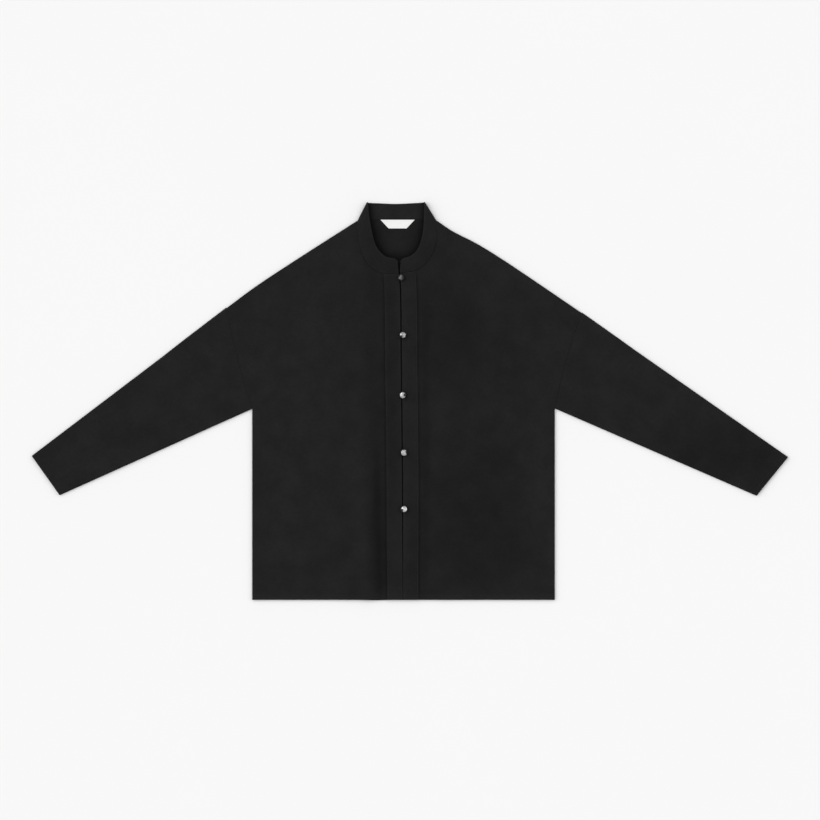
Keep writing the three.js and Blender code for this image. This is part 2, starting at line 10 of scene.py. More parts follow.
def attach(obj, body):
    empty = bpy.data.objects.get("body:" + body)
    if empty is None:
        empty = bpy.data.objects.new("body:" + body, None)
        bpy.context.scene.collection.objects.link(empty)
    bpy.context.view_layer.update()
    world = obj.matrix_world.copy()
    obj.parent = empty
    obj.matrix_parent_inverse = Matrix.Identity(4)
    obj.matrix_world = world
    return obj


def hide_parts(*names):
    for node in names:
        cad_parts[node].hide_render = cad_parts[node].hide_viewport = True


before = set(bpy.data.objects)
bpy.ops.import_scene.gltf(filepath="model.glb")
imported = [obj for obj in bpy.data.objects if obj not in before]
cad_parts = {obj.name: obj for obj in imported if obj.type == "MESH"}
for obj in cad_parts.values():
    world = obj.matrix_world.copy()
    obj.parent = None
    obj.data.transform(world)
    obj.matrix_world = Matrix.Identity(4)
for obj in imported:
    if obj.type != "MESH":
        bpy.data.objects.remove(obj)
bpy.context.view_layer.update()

bl_info = {
    "name": "Laid stand-collar top",
    "version": (1, 0, 0),
    "blender": (4, 5, 0),
    "location": "3D View > Sidebar > Top",
    "description": "Cloth, stitching, buttons, loops and label of a stand-collar top laid flat on its back",
    "category": "Object",
}

# Lengths in the tables are millimetres. X runs to the wearer's left, Y to the collar, Z up from the floor.
MM = 0.001
BODY = "root"

# Height of the front's upper face above the floor, and how far it rises towards the neck
LAID_HEIGHT = 4.2
NECK_RISE = 1.5
NECK_RISE_REACH = 110

# The hem's place and how much of its shoulder line a panel follows
HEM_Y = -387.9
SHOULDER_STOP = 0.997

# Gaps at the seams, and how far the necklines go under the collar's edge
SEAM = 0.3
SEAM_SHOWN = 0.1
NECK_TUCK = 0.5
BACK_NECK_TUCK = 0.3

# Widths of the two bands, and lengths along an armhole and a cuff
PLACKET_WIDTH = 30
COLLAR_HEIGHT = 30.0
ARMHOLE_LENGTH = 200
CUFF_LENGTH = 95

# Relief of turned and sewn edges: how far the turning rises, its stitching sinks and the cloth puckers
HEM_TURNING = 0.34
HEM_SINK = 0.42
HEM_SINK_UNDER = 0.30
HEM_PUCKER = 0.15
ARMHOLE_TURNING = 0.38
ARMHOLE_PUCKER = 0.13
SLEEVE_PUCKER = 0.14
PLACKET_CROWN = 0.18
PLACKET_SINK = 0.40
COLLAR_CROWN = 0.16
COLLAR_SINK = 0.26
COLLAR_PUCKER = 0.10

# Where each half of the garment turns, as it lies
HALVES = {
    "right": {
        "side": -1,
        "hem": (-307.7, HEM_Y),
        "underarm": (-307.7, -15.4),
        "armhole_top": (-357.6, 181.4),
        "shoulder": [(-300.1, 223.9), (-206.5, 285.5), (-136.3, 330.3)],
        "neck": (-102.2, 352.0),
        "cuff_top": (-737.7, -106.9),
        "cuff_bottom": (-683.1, -183.9),
        "armhole_sag": -3.0,
    },
    "left": {
        "side": 1,
        "hem": (282.7, HEM_Y),
        "underarm": (282.7, -14.7),
        "armhole_top": (334.8, 172.0),
        "shoulder": [(245.9, 232.6), (175.7, 279.4), (128.9, 307.9), (82.1, 331.9)],
        "neck": (50.0, 353.6),
        "cuff_top": (737.7, -109.2),
        "cuff_bottom": (676.1, -184.9),
        "armhole_sag": -4.5,
    },
}

# The front opening from the hem up: y, the middle's x and how far it gapes
OPENING = np.array([
    (HEM_Y, -13.7, 0.8),
    (-340, -13.8, 1.0),
    (-262, -14.2, 1.9),
    (-154, -14.3, 2.6),
    (-45, -15.4, 2.7),
    (68, -16.7, 2.8),
    (177, -17.4, 2.9),
    (220, -18.4, 2.8),
    (260, -20.7, 2.8),
])

# The collar's outer face over each front: where each section is sewn, and where its free edge lies
COLLAR_FRONTS = {
    "right": [
        ((-22.1, 249.2, 7.2), (-24.8, 278.1, 12.4)),
        ((-40.8, 247.7, 7.3), (-37.8, 278.3, 13.2)),
        ((-60.3, 251.6, 7.3), (-48.6, 281.8, 13.8)),
        ((-79.8, 265.2, 7.3), (-58.7, 290.7, 14.2)),
        ((-93.4, 286.7, 7.2), (-67.1, 304.2, 14.2)),
        ((-99.6, 310.1, 6.9), (-72.9, 323.7, 13.6)),
        ((-102.0, 328.5, 6.5), (-77.4, 346.0, 12.4)),
        ((-102.6, 342.0, 6.0), (-80.6, 368.4, 11.0)),
    ],
    "left": [
        ((-19.3, 249.8, 7.2), (-17.4, 277.7, 12.4)),
        ((-2.7, 251.6, 7.3), (-7.6, 278.9, 13.2)),
        ((16.8, 257.8, 7.3), (2.1, 282.8, 13.8)),
        ((33.3, 272.0, 7.3), (11.9, 290.9, 14.2)),
        ((45.4, 291.5, 7.2), (19.3, 304.2, 14.2)),
        ((51.3, 312.0, 6.9), (24.8, 324.7, 13.6)),
        ((52.4, 329.5, 6.5), (27.2, 346.5, 12.4)),
        ((51.9, 343.0, 6.0), (28.4, 369.0, 11.0)),
    ],
}
COLLAR_SIDES = {
    "right": {"sewn": (-102.4, 351.2), "free": (-84.0, 387.4), "inwards": 1},
    "left": {"sewn": (50.9, 353.0), "free": (29.2, 388.0), "inwards": -1},
}
COLLAR_SIDE_HEIGHTS = {"sewn": 5.6, "free": 9.4}
COLLAR_FOLD_ANGLES = np.radians([50, 0, -50, -90])
COLLAR_BACK = [
    ((-62.2, 354.7, 0), (-54.4, 385.5, 0)),
    ((-26.1, 355.3, 0), (-26.1, 384.6, 0)),
    ((9.9, 355.3, 0), (2.1, 385.8, 0)),
]
COLLAR_FREE_SLANT = 0.35
COLLAR_ROLL = 0.9
COLLAR_STAND = 1.8
COLLAR_SEWN_HEIGHT = 7.2
COLLAR_SECTION_LENGTH = 18.7
COLLAR_CORNER_SECTIONS = 0.83
COLLAR_CORNER_DROP = 0.24
FRONT_NECK_SECTIONS = 8

# Large folds of the laid cloth, as in the solids: start, end, half width and rise
FOLDS = [
    ((-63, -110), (-54, -420), 9, -1.3),
    ((-90, -150), (-84, -430), 14, 0.9),
    ((30, 190), (34, -430), 12, -0.7),
    ((70, -60), (82, -430), 22, 0.5),
    ((-285, -40), (-150, 90), 20, 0.8),
    ((-240, -130), (-215, -380), 24, -0.5),
    ((-160, 250), (-120, 60), 22, 0.5),
    ((258, -35), (140, 80), 20, 0.8),
    ((205, -120), (175, -370), 26, -0.5),
    ((110, 240), (90, 60), 22, 0.5),
    ((-340, 60), (-520, -30), 16, 0.7),
    ((-430, -30), (-640, -130), 12, -0.5),
    ((318, 55), (500, -25), 16, 0.7),
    ((420, -30), (640, -135), 12, -0.5),
]

# Small creases between them: start, end, sideways bend, half width and rise
CREASES = [
    ((-74, -60), (-66, -425), 3, 5.0, 0.45),
    ((-57, -215), (-56, -425), 1, 4.0, -0.40),
    ((-49, 120), (-51, -200), -1, 3.5, -0.45),
    ((-122, -170), (-112, -400), -6, 9.0, -0.35),
    ((-150, -60), (-138, -330), 8, 12.0, 0.40),
    ((-190, -210), (-182, -400), 5, 10.0, 0.35),
    ((-262, -250), (-252, -395), -4, 9.0, -0.35),
    ((-296, -20), (-232, 22), 5, 6.0, -0.50),
    ((-292, -34), (-214, -22), -6, 5.0, 0.45),
    ((-300, -60), (-236, -118), 7, 7.0, 0.40),
    ((-250, 40), (-178, 104), -9, 8.0, -0.40),
    ((-330, 150), (-262, 118), 6, 8.0, -0.35),
    ((-212, 250), (-168, 150), 9, 9.0, -0.40),
    ((-120, 300), (-92, 210), -7, 8.0, -0.45),
    ((-104, 262), (-74, 170), 6, 6.0, 0.40),
    ((-86, 228), (-60, 120), 3, 5.0, -0.35),
    ((26, 236), (29, 20), 2, 5.0, -0.50),
    ((25, -10), (28, -420), 2, 5.0, -0.45),
    ((44, 150), (52, -40), -5, 8.0, 0.35),
    ((58, 226), (84, 128), -6, 7.0, -0.40),
    ((72, 276), (106, 176), 7, 8.0, 0.40),
    ((118, 276), (160, 158), -10, 10.0, -0.35),
    ((108, -90), (122, -340), -7, 11.0, -0.35),
    ((150, -40), (158, -300), 8, 12.0, 0.35),
    ((232, -200), (240, -400), 5, 10.0, 0.35),
    ((272, -18), (206, 24), -5, 6.0, -0.50),
    ((268, -32), (190, -26), 6, 5.0, 0.45),
    ((274, -58), (214, -112), -7, 7.0, 0.40),
    ((232, 42), (156, 96), 9, 8.0, -0.35),
    ((306, 148), (240, 112), -6, 8.0, -0.35),
    ((-322, 24), (-420, -18), -6, 6.0, -0.45),
    ((-326, -12), (-402, -62), 7, 6.0, 0.45),
    ((-372, 120), (-470, 66), 8, 9.0, -0.35),
    ((-455, 30), (-560, -28), -7, 7.0, 0.35),
    ((-500, -90), (-610, -150), 5, 6.0, 0.35),
    ((-560, -20), (-690, -108), -6, 8.0, -0.35),
    ((-640, -128), (-722, -152), 4, 5.0, 0.30),
    ((300, 22), (398, -22), 6, 6.0, -0.45),
    ((302, -14), (380, -66), -7, 6.0, 0.45),
    ((352, 108), (452, 52), -8, 9.0, -0.35),
    ((436, 24), (548, -36), 7, 7.0, 0.35),
    ((484, -94), (600, -152), -5, 6.0, 0.35),
    ((546, -26), (684, -112), 6, 8.0, -0.35),
    ((634, -132), (716, -156), -4, 5.0, 0.30),
]

# How strongly the small creases show
CREASE_STRENGTH = 1.6

# The right front's hem hangs a little lower below the fold beside its placket
HEM_BULGE = 0.7
HEM_BULGE_X = -64
HEM_BULGE_REACH = 20

# Broad soft rises of the cloth above the solids' surface: start, end, sideways bend, half width and rise
RIDGES = [
    ((-92, -90), (-86, -440), 3, 12.0, 3.0),
    ((-120, -210), (-118, -430), -4, 15.0, 0.9),
    ((-298, -36), (-170, 96), 22, 13.0, 1.2),
    ((-286, -52), (-150, -150), 16, 15.0, 0.9),
    ((272, -36), (150, 90), -22, 13.0, 1.2),
    ((262, -52), (136, -150), -16, 15.0, 0.9),
    ((-340, 30), (-560, -66), -14, 11.0, 1.1),
    ((318, 26), (540, -72), 14, 11.0, 1.1),
    ((-250, 240), (-130, 90), 20, 16.0, 0.9),
    ((214, 236), (104, 96), -20, 16.0, 0.9),
    ((-210, -210), (-200, -400), 6, 16.0, 0.9),
    ((188, -230), (178, -400), -6, 16.0, 0.9),
    ((-600, -60), (-716, -128), 5, 9.0, 0.8),
    ((588, -62), (708, -128), -5, 9.0, 0.8),
]

# Shallow hollows on the side that lies on the floor, where the cloth lifts off it
UNDER_CREASES = [
    ((-250, -20), (-120, 70), 10, 12.0, 0.45),
    ((-180, -120), (-150, -370), -8, 14.0, 0.40),
    ((-60, 40), (-48, -300), 6, 12.0, 0.35),
    ((70, -60), (84, -380), -7, 14.0, 0.40),
    ((236, -20), (120, 60), -10, 12.0, 0.45),
    ((180, -150), (166, -360), 6, 12.0, 0.35),
    ((-190, 240), (-130, 120), 8, 12.0, 0.35),
    ((150, 230), (96, 120), -8, 12.0, 0.35),
    ((-350, 40), (-520, -40), -8, 10.0, 0.40),
    ((-540, -60), (-680, -140), 6, 9.0, 0.35),
    ((328, 36), (500, -44), 8, 10.0, 0.40),
    ((530, -66), (672, -146), -6, 9.0, 0.35),
]

# Soft patches where the cloth is made darker or lighter: partly its nap lying another way, and partly painted
# shade in the trough beside the right placket and along both plackets. Each is its middle, its reach in x and
# y, and how much darker it is made there
NAP_AND_SHADE_PATCHES = [
    ((112, -190), (90, 170), 0.85),
    ((140, -290), (80, 85), 0.40),
    ((72, 140), (60, 120), 0.95),
    ((150, 140), (80, 80), 0.30),
    ((190, 60), (74, 60), 0.35),
    ((210, -280), (60, 70), 0.40),
    ((168, -120), (40, 60), 0.30),
    ((-60, -262), (17, 165), 1.40),
    ((-65, -190), (8, 95), 0.55),
    ((-55, -335), (11, 95), 0.70),
    ((-66, 70), (26, 230), 0.75),
    ((-108, 40), (50, 60), 0.25),
    ((-120, 190), (44, 50), 0.30),
    ((-160, -300), (60, 50), 0.25),
    ((30, -70), (10, 310), 0.85),
    ((-34, 60), (12, 330), 0.75),
    ((4, -60), (10, 310), 0.25),
    ((12, -340), (40, 90), 0.45),
    ((-72, 300), (34, 60), 0.60),
    ((28, 285), (34, 50), 0.20),
    ((605, -102), (130, 62), 1.05),
    ((690, -140), (60, 50), 0.30),
    ((-520, -60), (90, 40), 0.20),
    ((-620, -120), (50, 30), -0.20),
    ((-230, 60), (70, 90), -0.20),
    ((-240, -220), (50, 120), -0.22),
    ((270, -200), (26, 190), -0.25),
    ((0, -384), (330, 9), -0.45),
]

# Darker and lighter patches on the outside of the back, given the same way
BACK_NAP_PATCHES = [
    ((-150, -120), (110, 180), 0.50),
    ((60, -240), (90, 120), 0.70),
    ((170, 60), (80, 110), 0.45),
    ((-60, 180), (90, 70), 0.40),
    ((-220, 60), (60, 80), -0.25),
    ((210, -290), (60, 60), -0.30),
    ((10, 20), (70, 130), -0.20),
]

# Painted shadow inside the neck, most of all beside the collar's free edge, and darker further in; the flat
# back of the collar's inner face is made lighter
NECK_SHADE = 2.3
NECK_SHADE_REACH = 9.5
NECK_DEPTH_SHADE = 0.45
NECK_DEPTH_START = 225
NECK_DEPTH_REACH = 30
COLLAR_BACK_SHADE = -0.65

# Painted shade along the armhole seams and beside the plackets' outer edges, and painted shadow round each
# button's stem
ARMHOLE_SHADE = 0.9
ARMHOLE_SHADE_REACH = 2.6
PLACKET_SHADE = 1.3
PLACKET_SHADE_AWAY = 1.6
PLACKET_SHADE_REACH = 2.6
PLACKET_SHADE_END = 250
BUTTON_SHADE = 1.2
BUTTON_SHADE_REACH = 9.6

# Buttons from the collar down: place along the opening, width of the head and its lean in degrees.
# Each head is also darkened, partly for tarnish and partly as painted shade and dark reflection, most on the
# top button under the collar. hollows are deep dents, painted dark for dark reflections: x, y and reach by
# the head's radius.
BUTTONS = [
    {
        "y": 241.0, "across": 11.4, "lean_x": -9, "lean_y": 6, "tarnish_and_shade": 0.87,
        "hollows": [(0.82, 0.14, 0.60), (0.74, -0.66, 0.42), (-0.74, 0.56, 0.60), (-0.50, -0.90, 0.30)],
    },
    {
        "y": 127.9, "across": 12.7, "lean_x": 5, "lean_y": -8, "tarnish_and_shade": 0.36,
        "hollows": [(-0.55, -0.62, 0.52), (0.98, -0.10, 0.30)],
    },
    {
        "y": 11.7, "across": 12.7, "lean_x": -9, "lean_y": 5, "tarnish_and_shade": 0.16,
        "hollows": [(0.52, 0.30, 0.30), (0.58, -0.06, 0.32), (0.98, 0.06, 0.36)],
    },
    {
        "y": -100.4, "across": 12.7, "lean_x": 7, "lean_y": 4, "tarnish_and_shade": 0.10,
        "hollows": [(0.56, 0.30, 0.26), (0.78, 0.10, 0.36), (0.90, -0.24, 0.30)],
    },
    {
        "y": -211.0, "across": 12.7, "lean_x": 4, "lean_y": -6, "tarnish_and_shade": 0.0,
        "hollows": [(-0.70, -0.24, 0.44), (-0.52, -0.62, 0.28)],
    },
]
STEM_INSET = 1.6
STEM_HEIGHT = 3.4
STEM_RADIUS = 1.5
STEM_RINGS = 15
FACE_RINGS = 28
DENT_REACH = 1.7
DENT_DARK = 0.25
HOLLOW_DEPTH = 1.1
# How dark the big hollows, and the rim and underside of each head, are painted: dark reflection and shade
HOLLOW_REFLECTION_DARK = 1.6
RIM_AND_UNDERSIDE_SHADE = 1.1
LOOP_START = 2.4
LOOP_PLAY = 0.35
LOOP_CORD = 1.2
LOOP_POINTS = 90

# The neck label's trapezoid
LABEL = {"middle": -24.0, "top": 353.6, "height": 17.0, "top_width": 67.0, "bottom_width": 35.0}
LABEL_WALL = 0.42
LABEL_LIFT = 2.42
LABEL_STITCH_INSET = 2.5
LABEL_STITCH_DROP = 1.6
FLAP_WALL = 0.36
FLAP_LIFT = 1.86

# How far the stitches' middle lines lie above or below the cloth
STITCH_LIFT = 0.05
BAND_STITCH_LIFT = 0.03
UNDER_STITCH_LIFT = -0.02
PLACKET_STITCH_LIFT = -0.17
COLLAR_STITCH_LIFT = -0.12
LABEL_STITCH_LIFT = 0.04
TACK_LIFT = 0.55

# Where the plackets' stitching ends, and how far from a side the hem's does
PLACKET_STITCH_END = 246.0
HEM_STITCH_INSET = 1.2
UP = (0, 0, 1)
DOWN = (0, 0, -1)

# The floor and the middle of the view, in metres
FLOOR_Z = -0.0003
VIEW_MIDDLE = (0.0002, -0.01755, 0.004)
SENSOR_WIDTH = 36.0

# Distances in from an edge at which the cloth gets a row of points
RIM = [0.0, 0.08, 0.3, 0.6]
LABEL_RIM = [0.0, 0.06, 0.2, 0.45]
HEM_ROWS = [*RIM, 1.2, 2.2, 3.6, 5.2, 6.8, 8.0, 8.8, 9.5, 10.2, 11.0, 12.2, 14.0, 17.0]
ARC_ANGLES = np.radians([0, 8, 16, 26, 36, 47, 58, 69, 80, 90])

# Spacing of the cloth's rows of points, and how many columns go between its edges
FRONT_STEP = 3.4
BACK_STEP = 5.5
BAND_STEP = 3.6
FRONT_COLUMNS = 74
BACK_COLUMNS = 104
SLEEVE_COLUMNS = 56

# How near a folded edge a point counts as on it
EDGE_SLACK = 0.01


def smooth(t):
    """A soft step from 0 to 1 as t goes from 0 to 1."""
    t = np.clip(t, 0.0, 1.0)
    return t * t * (3 - 2 * t)


def bell(distance, reach):
    """1 at no distance, and almost nothing at twice the reach."""
    return np.exp(-((distance / reach) ** 2))


def pucker(run, wave, slow, sway=2, phase=0):
    """Uneven ripples along a seam, from -1 to 1."""
    return np.sin(run / wave + sway * np.sin(run / slow) + phase)


def mix(a, b, t):
    """Points from a to b at shares t of the way."""
    t = np.asarray(t, float)[..., None]
    return np.asarray(a, float) * (1 - t) + np.asarray(b, float) * t


def spline(points, t):
    """Points on a centripetal Catmull-Rom line, where t is 0 at its first point and 1 at its last."""
    p = np.asarray(points, float)
    p = np.vstack([2 * p[0] - p[1], p, 2 * p[-1] - p[-2]])
    stretches = len(p) - 3
    at = np.clip(np.asarray(t, float), 0, 1) * stretches
    i = np.minimum(at.astype(int), stretches - 1)
    u = (at - i)[:, None]
    p0, p1, p2, p3 = (p[i + k] for k in range(4))
    pairs = ((p0, p1), (p1, p2), (p2, p3))
    d0, d1, d2 = (np.sqrt(np.linalg.norm(b - a, axis=1, keepdims=True)) for a, b in pairs)
    m1 = ((p1 - p0) / d0 - (p2 - p0) / (d0 + d1) + (p2 - p1) / d1) * d1
    m2 = ((p2 - p1) / d1 - (p3 - p1) / (d1 + d2) + (p3 - p2) / d2) * d1
    bend = 2 * p1 - 2 * p2 + m1 + m2
    lean = -3 * p1 + 3 * p2 - 2 * m1 - m2
    return p1 + m1 * u + lean * u**2 + bend * u**3


def lengths(points):
    """Distance along a line of points, from its first one."""
    steps = np.linalg.norm(np.diff(points, axis=0), axis=1)
    return np.concatenate([[0.0], np.cumsum(steps)])


def even_spline(points, t):
    """Points on the same line, where t is a share of its length."""
    fine = np.linspace(0, 1, 400)
    run = lengths(spline(points, fine))
    return spline(points, np.interp(np.clip(t, 0, 1) * run[-1], run, fine))


def to_path(points, path):
    """Distance from each point to a line of points, and how far along the line, from 0 to 1."""
    path = np.asarray(path, float)
    start = path[:-1]
    step = path[1:] - start
    run = lengths(path)
    away = points[:, None, :] - start
    along = np.clip((away * step).sum(2) / (step * step).sum(1), 0, 1)
    gap = np.linalg.norm(away - along[..., None] * step, axis=2)
    best = gap.argmin(1)
    row = np.arange(len(points))
    return gap[row, best], (run[best] + along[row, best] * np.diff(run)[best]) / run[-1]


def opening(y):
    """The middle of the front opening and how far it gapes, at heights y."""
    return np.interp(y, OPENING[:, 0], OPENING[:, 1]), np.interp(y, OPENING[:, 0], OPENING[:, 2])


def collar_fold(side):
    """Sections round a side fold of the collar, from over the front to the back on the floor."""
    (sx, sy), (fx, fy) = side["sewn"], side["free"]
    way = np.array([fx - sx, fy - sy]) / math.hypot(fx - sx, fy - sy)
    inwards = np.array([side["inwards"] * abs(way[1]), -abs(way[0])])
    found = []
    for angle in COLLAR_FOLD_ANGLES:
        section = []
        for key in ("sewn", "free"):
            radius = COLLAR_SIDE_HEIGHTS[key] / 2
            slant = (1, COLLAR_FREE_SLANT if key == "free" else 1)
            x, y = np.array(side[key]) + inwards * slant * radius * (1 - math.cos(angle))
            section.append((x, y, radius * (1 + math.sin(angle))))
        found.append(tuple(section))
    return found


COLLAR_SECTIONS = [
    *COLLAR_FRONTS["right"],
    *collar_fold(COLLAR_SIDES["right"]),
    *COLLAR_BACK,
    *reversed(collar_fold(COLLAR_SIDES["left"])),
    *reversed(COLLAR_FRONTS["left"]),
]
LAST_SECTION = len(COLLAR_SECTIONS) - 1
SEWN_LINE = [sewn for sewn, free in COLLAR_SECTIONS]
FREE_LINE = [free for sewn, free in COLLAR_SECTIONS]
BACK_NECK_SECTION = len(COLLAR_FRONTS["right"]) + len(COLLAR_FOLD_ANGLES) - 1


def neckline(first, last, away, t):
    """A neckline beside the collar's sewn edge between two of its sections."""
    at = (first + (last - first) * np.asarray(t, float)) / LAST_SECTION
    step = 0.0005
    here = spline(SEWN_LINE, at)
    d = spline(SEWN_LINE, at + step) - spline(SEWN_LINE, at - step)
    flat = np.hypot(d[:, 0], d[:, 1])
    return np.stack([here[:, 0] - away * d[:, 1] / flat, here[:, 1] + away * d[:, 0] / flat], 1)


def front_neckline(name, away, t):
    """A front's neckline, from the opening to the shoulder."""
    if name == "right":
        return neckline(0, FRONT_NECK_SECTIONS, away, t)
    return neckline(LAST_SECTION, LAST_SECTION - FRONT_NECK_SECTIONS, away, t)


def shoulder_line(half, t):
    """A shoulder from the top of the armhole to the neck."""
    return even_spline([half["armhole_top"], *half["shoulder"], half["neck"]], t)


def armhole_line(half, t):
    """An armhole seam from the underarm to its top."""
    line = mix(half["underarm"], half["armhole_top"], t)
    line[:, 0] += half["armhole_sag"] * np.sin(np.pi * np.asarray(t))
    return line


FREE_EDGES = [
    spline(FREE_LINE, np.linspace(first, last, 60) / LAST_SECTION)[:, :2]
    for first, last in ((0, FRONT_NECK_SECTIONS), (LAST_SECTION, LAST_SECTION - FRONT_NECK_SECTIONS))
]


def neck_shade(points):
    """Painted shadow: how much darker the inside of the neck is made beside the standing collar's free edge.
    """
    shape = points.shape[:-1]
    flat = points.reshape(-1, 2)
    gap = np.minimum(*(to_path(flat, edge)[0] for edge in FREE_EDGES))
    return (NECK_SHADE * np.exp(-((gap / NECK_SHADE_REACH) ** 1.5))).reshape(shape)


EVEN = np.linspace(0, 1, 161)
FOLD_EDGES = [
    edge
    for half in HALVES.values()
    for edge in (
        np.vstack([shoulder_line(half, EVEN)[::-1], half["cuff_top"]]),
        np.array([half["cuff_bottom"], half["underarm"], half["hem"]]),
    )
]
NECK_PATHS = [front_neckline(name, SEAM, np.linspace(0, 1, 17)) for name in HALVES]
ARMHOLES = {name: armhole_line(half, np.linspace(0, 1, 25)) for name, half in HALVES.items()}
CUFFS = {name: np.array([half["cuff_top"], half["cuff_bottom"]]) for name, half in HALVES.items()}


def crease_height(points, start, end, bend, wide, rise, fades=True):
    """Height that one crease adds at each point. It is a soft ridge, or a trough where rise is below 0."""
    t = np.linspace(0, 1, 2 if bend == 0 else 9)
    line = mix(start, end, t)
    way = np.subtract(end, start) / math.dist(start, end)
    line += (4 * t * (1 - t) * bend)[:, None] * np.array([-way[1], way[0]])
    gap, along = to_path(points, line)
    strength = smooth(3 * along + 0.25)
    if fades:
        strength = strength * smooth(3 * (1 - along) + 0.1)
    return rise * bell(gap, wide) * strength


def unevenness(points, size):
    """The cloth's own slight unevenness, from -1 to 1."""
    return np.array([noise.noise(Vector((x / size, y / size, size))) for x, y in points])


def laid_height(points):
    """Height of the garment's upper face away from its folded edges, as in the solids."""
    neck = np.minimum(*(to_path(points, path)[0] for path in NECK_PATHS))
    height = LAID_HEIGHT + NECK_RISE * smooth(1 - neck / NECK_RISE_REACH)
    for start, end, wide, rise in FOLDS:
        height += crease_height(points, start, end, 0, wide, rise, fades=False)
    return height


def turned_hem(distance, run):
    """Relief of a turned and stitched edge, by distance from the edge and place along it."""
    hem = bpy.context.scene.laid_top_cloth.hem_depth / MM
    band = HEM_TURNING * smooth((hem + 1.2 - distance) / 1.6)
    line = -HEM_SINK * bell(distance - hem, 0.9)
    ripple = HEM_PUCKER * pucker(run, 1.75, 23.0, sway=2.5) * bell(distance - hem, 6.0)
    return band + line + ripple


def sewn_relief(points, part):
    """Fine relief on the upper side: small creases, hems and seam turnings."""
    relief = 0.42 * unevenness(points, 58.0) + 0.12 * unevenness(points, 19.0)
    for crease in CREASES:
        relief += CREASE_STRENGTH * crease_height(points, *crease)
    for ridge in RIDGES:
        relief += crease_height(points, *ridge)
    if part == "body":
        relief += turned_hem(points[:, 1] - HEM_Y, points[:, 0])
        for path in ARMHOLES.values():
            gap, along = to_path(points, path)
            turning = ARMHOLE_TURNING * smooth((9.0 - gap) / 2.5)
            relief += turning * smooth(along * 12) * smooth((1 - along) * 12)
            relief += ARMHOLE_PUCKER * pucker(along * ARMHOLE_LENGTH, 1.9, 17) * bell(gap, 7.0)
    else:
        gap, along = to_path(points, CUFFS[part])
        relief += turned_hem(gap, along * CUFF_LENGTH)
        gap, along = to_path(points, ARMHOLES[part])
        relief += SLEEVE_PUCKER * pucker(along * ARMHOLE_LENGTH, 1.9, 17, phase=1.3) * bell(gap, 8.0)
    return relief


def round_edge(points, radius):
    """Half of a round edge: 0 at the fold, and 1 where the cloth lies flat."""
    gap = np.min([to_path(points, edge)[0] for edge in FOLD_EDGES], axis=0)
    left = 1 - np.clip((gap - EDGE_SLACK) / radius, 0, 1)
    return np.sqrt(1 - left**2)


def upper_face(points, part, seam=0.0):
    """Points of a part's upper side. seam is the gap left at its folds."""
    height = laid_height(points)
    share = round_edge(points, height / 2)
    low = height / 2 + seam / 2
    z = low + (height - low) * share + sewn_relief(points, part) * share**3
    return np.column_stack([points, z])


def lower_face(points, part, seam=0.0):
    """Points of a part's side that lies on the floor."""
    height = laid_height(points)
    share = round_edge(points, height / 2)
    lift = sum(crease_height(points, *crease) for crease in UNDER_CREASES)
    hem = bpy.context.scene.laid_top_cloth.hem_depth / MM
    edge = points[:, 1] - HEM_Y if part == "body" else to_path(points, CUFFS[part])[0]
    lift = lift * smooth((edge - hem) / 25) + HEM_SINK_UNDER * bell(edge - hem, 0.8)
    return np.column_stack([points, (height / 2 - seam / 2) * (1 - share) + lift * share**3])


def over_plan(face, plan, *more):
    """A face over a grid of points of the plan."""
    return face(plan.reshape(-1, 2), *more).reshape(*plan.shape[:2], 3)


def placket_height(points, wall):
    """Height of a placket's outer face."""
    return laid_height(points) + sewn_relief(points, "body") + SEAM_SHOWN + wall


def spread_row(start, end, first, last, middle):
    """Points along each row: some at set distances from its two ends, and even ones between."""
    length = np.linalg.norm(end - start, axis=1)
    room = np.minimum(1, 0.4 * length / np.maximum(first[:, -1] + last[:, -1], 1e-6))
    first = first * room[:, None]
    last = last * room[:, None]
    t = np.linspace(0, 1, middle + 2)[1:-1]
    between = first[:, -1:] + (length[:, None] - last[:, -1:] - first[:, -1:]) * t
    along = np.hstack([first, between, length[:, None] - last[:, ::-1]]) / np.maximum(length, 1e-9)[:, None]
    return start[:, None, :] * (1 - along[..., None]) + end[:, None, :] * along[..., None]


def arc_offsets(outer, inner, tangent):
    """Distances in from a folded edge, spaced so that the round edge gets its arc."""
    d = inner - outer
    sine = np.abs(tangent[:, 0] * d[:, 1] - tangent[:, 1] * d[:, 0])
    sine = sine / np.maximum(np.linalg.norm(d, axis=1) * np.linalg.norm(tangent, axis=1), 1e-9)
    radius = laid_height(outer) / 2
    return radius[:, None] * (1 - np.cos(ARC_ANGLES)) / np.maximum(sine, 0.3)[:, None]


def normals_of(grid, closed=False):
    """Unit normals of a grid of points, from across its columns and along its rows."""
    if closed:
        across = np.roll(grid, -1, 1) - np.roll(grid, 1, 1)
    else:
        across = np.gradient(grid, axis=1)
    along = np.gradient(grid, axis=0)
    normal = np.cross(across, along)
    size = np.linalg.norm(normal, axis=2, keepdims=True)
    return normal / np.maximum(size, 1e-12)


def rim_distances(grid, closed=False):
    """How far each point is from the grid's first and last row, and from its first and last column."""
    down = np.cumsum(np.linalg.norm(np.diff(grid, axis=0, prepend=grid[:1]), axis=2), axis=0)
    found = [down, down[-1] - down]
    if not closed:
        side = np.cumsum(np.linalg.norm(np.diff(grid, axis=1, prepend=grid[:, :1]), axis=2), axis=1)
        found += [side, side[:, -1:] - side]
    return found


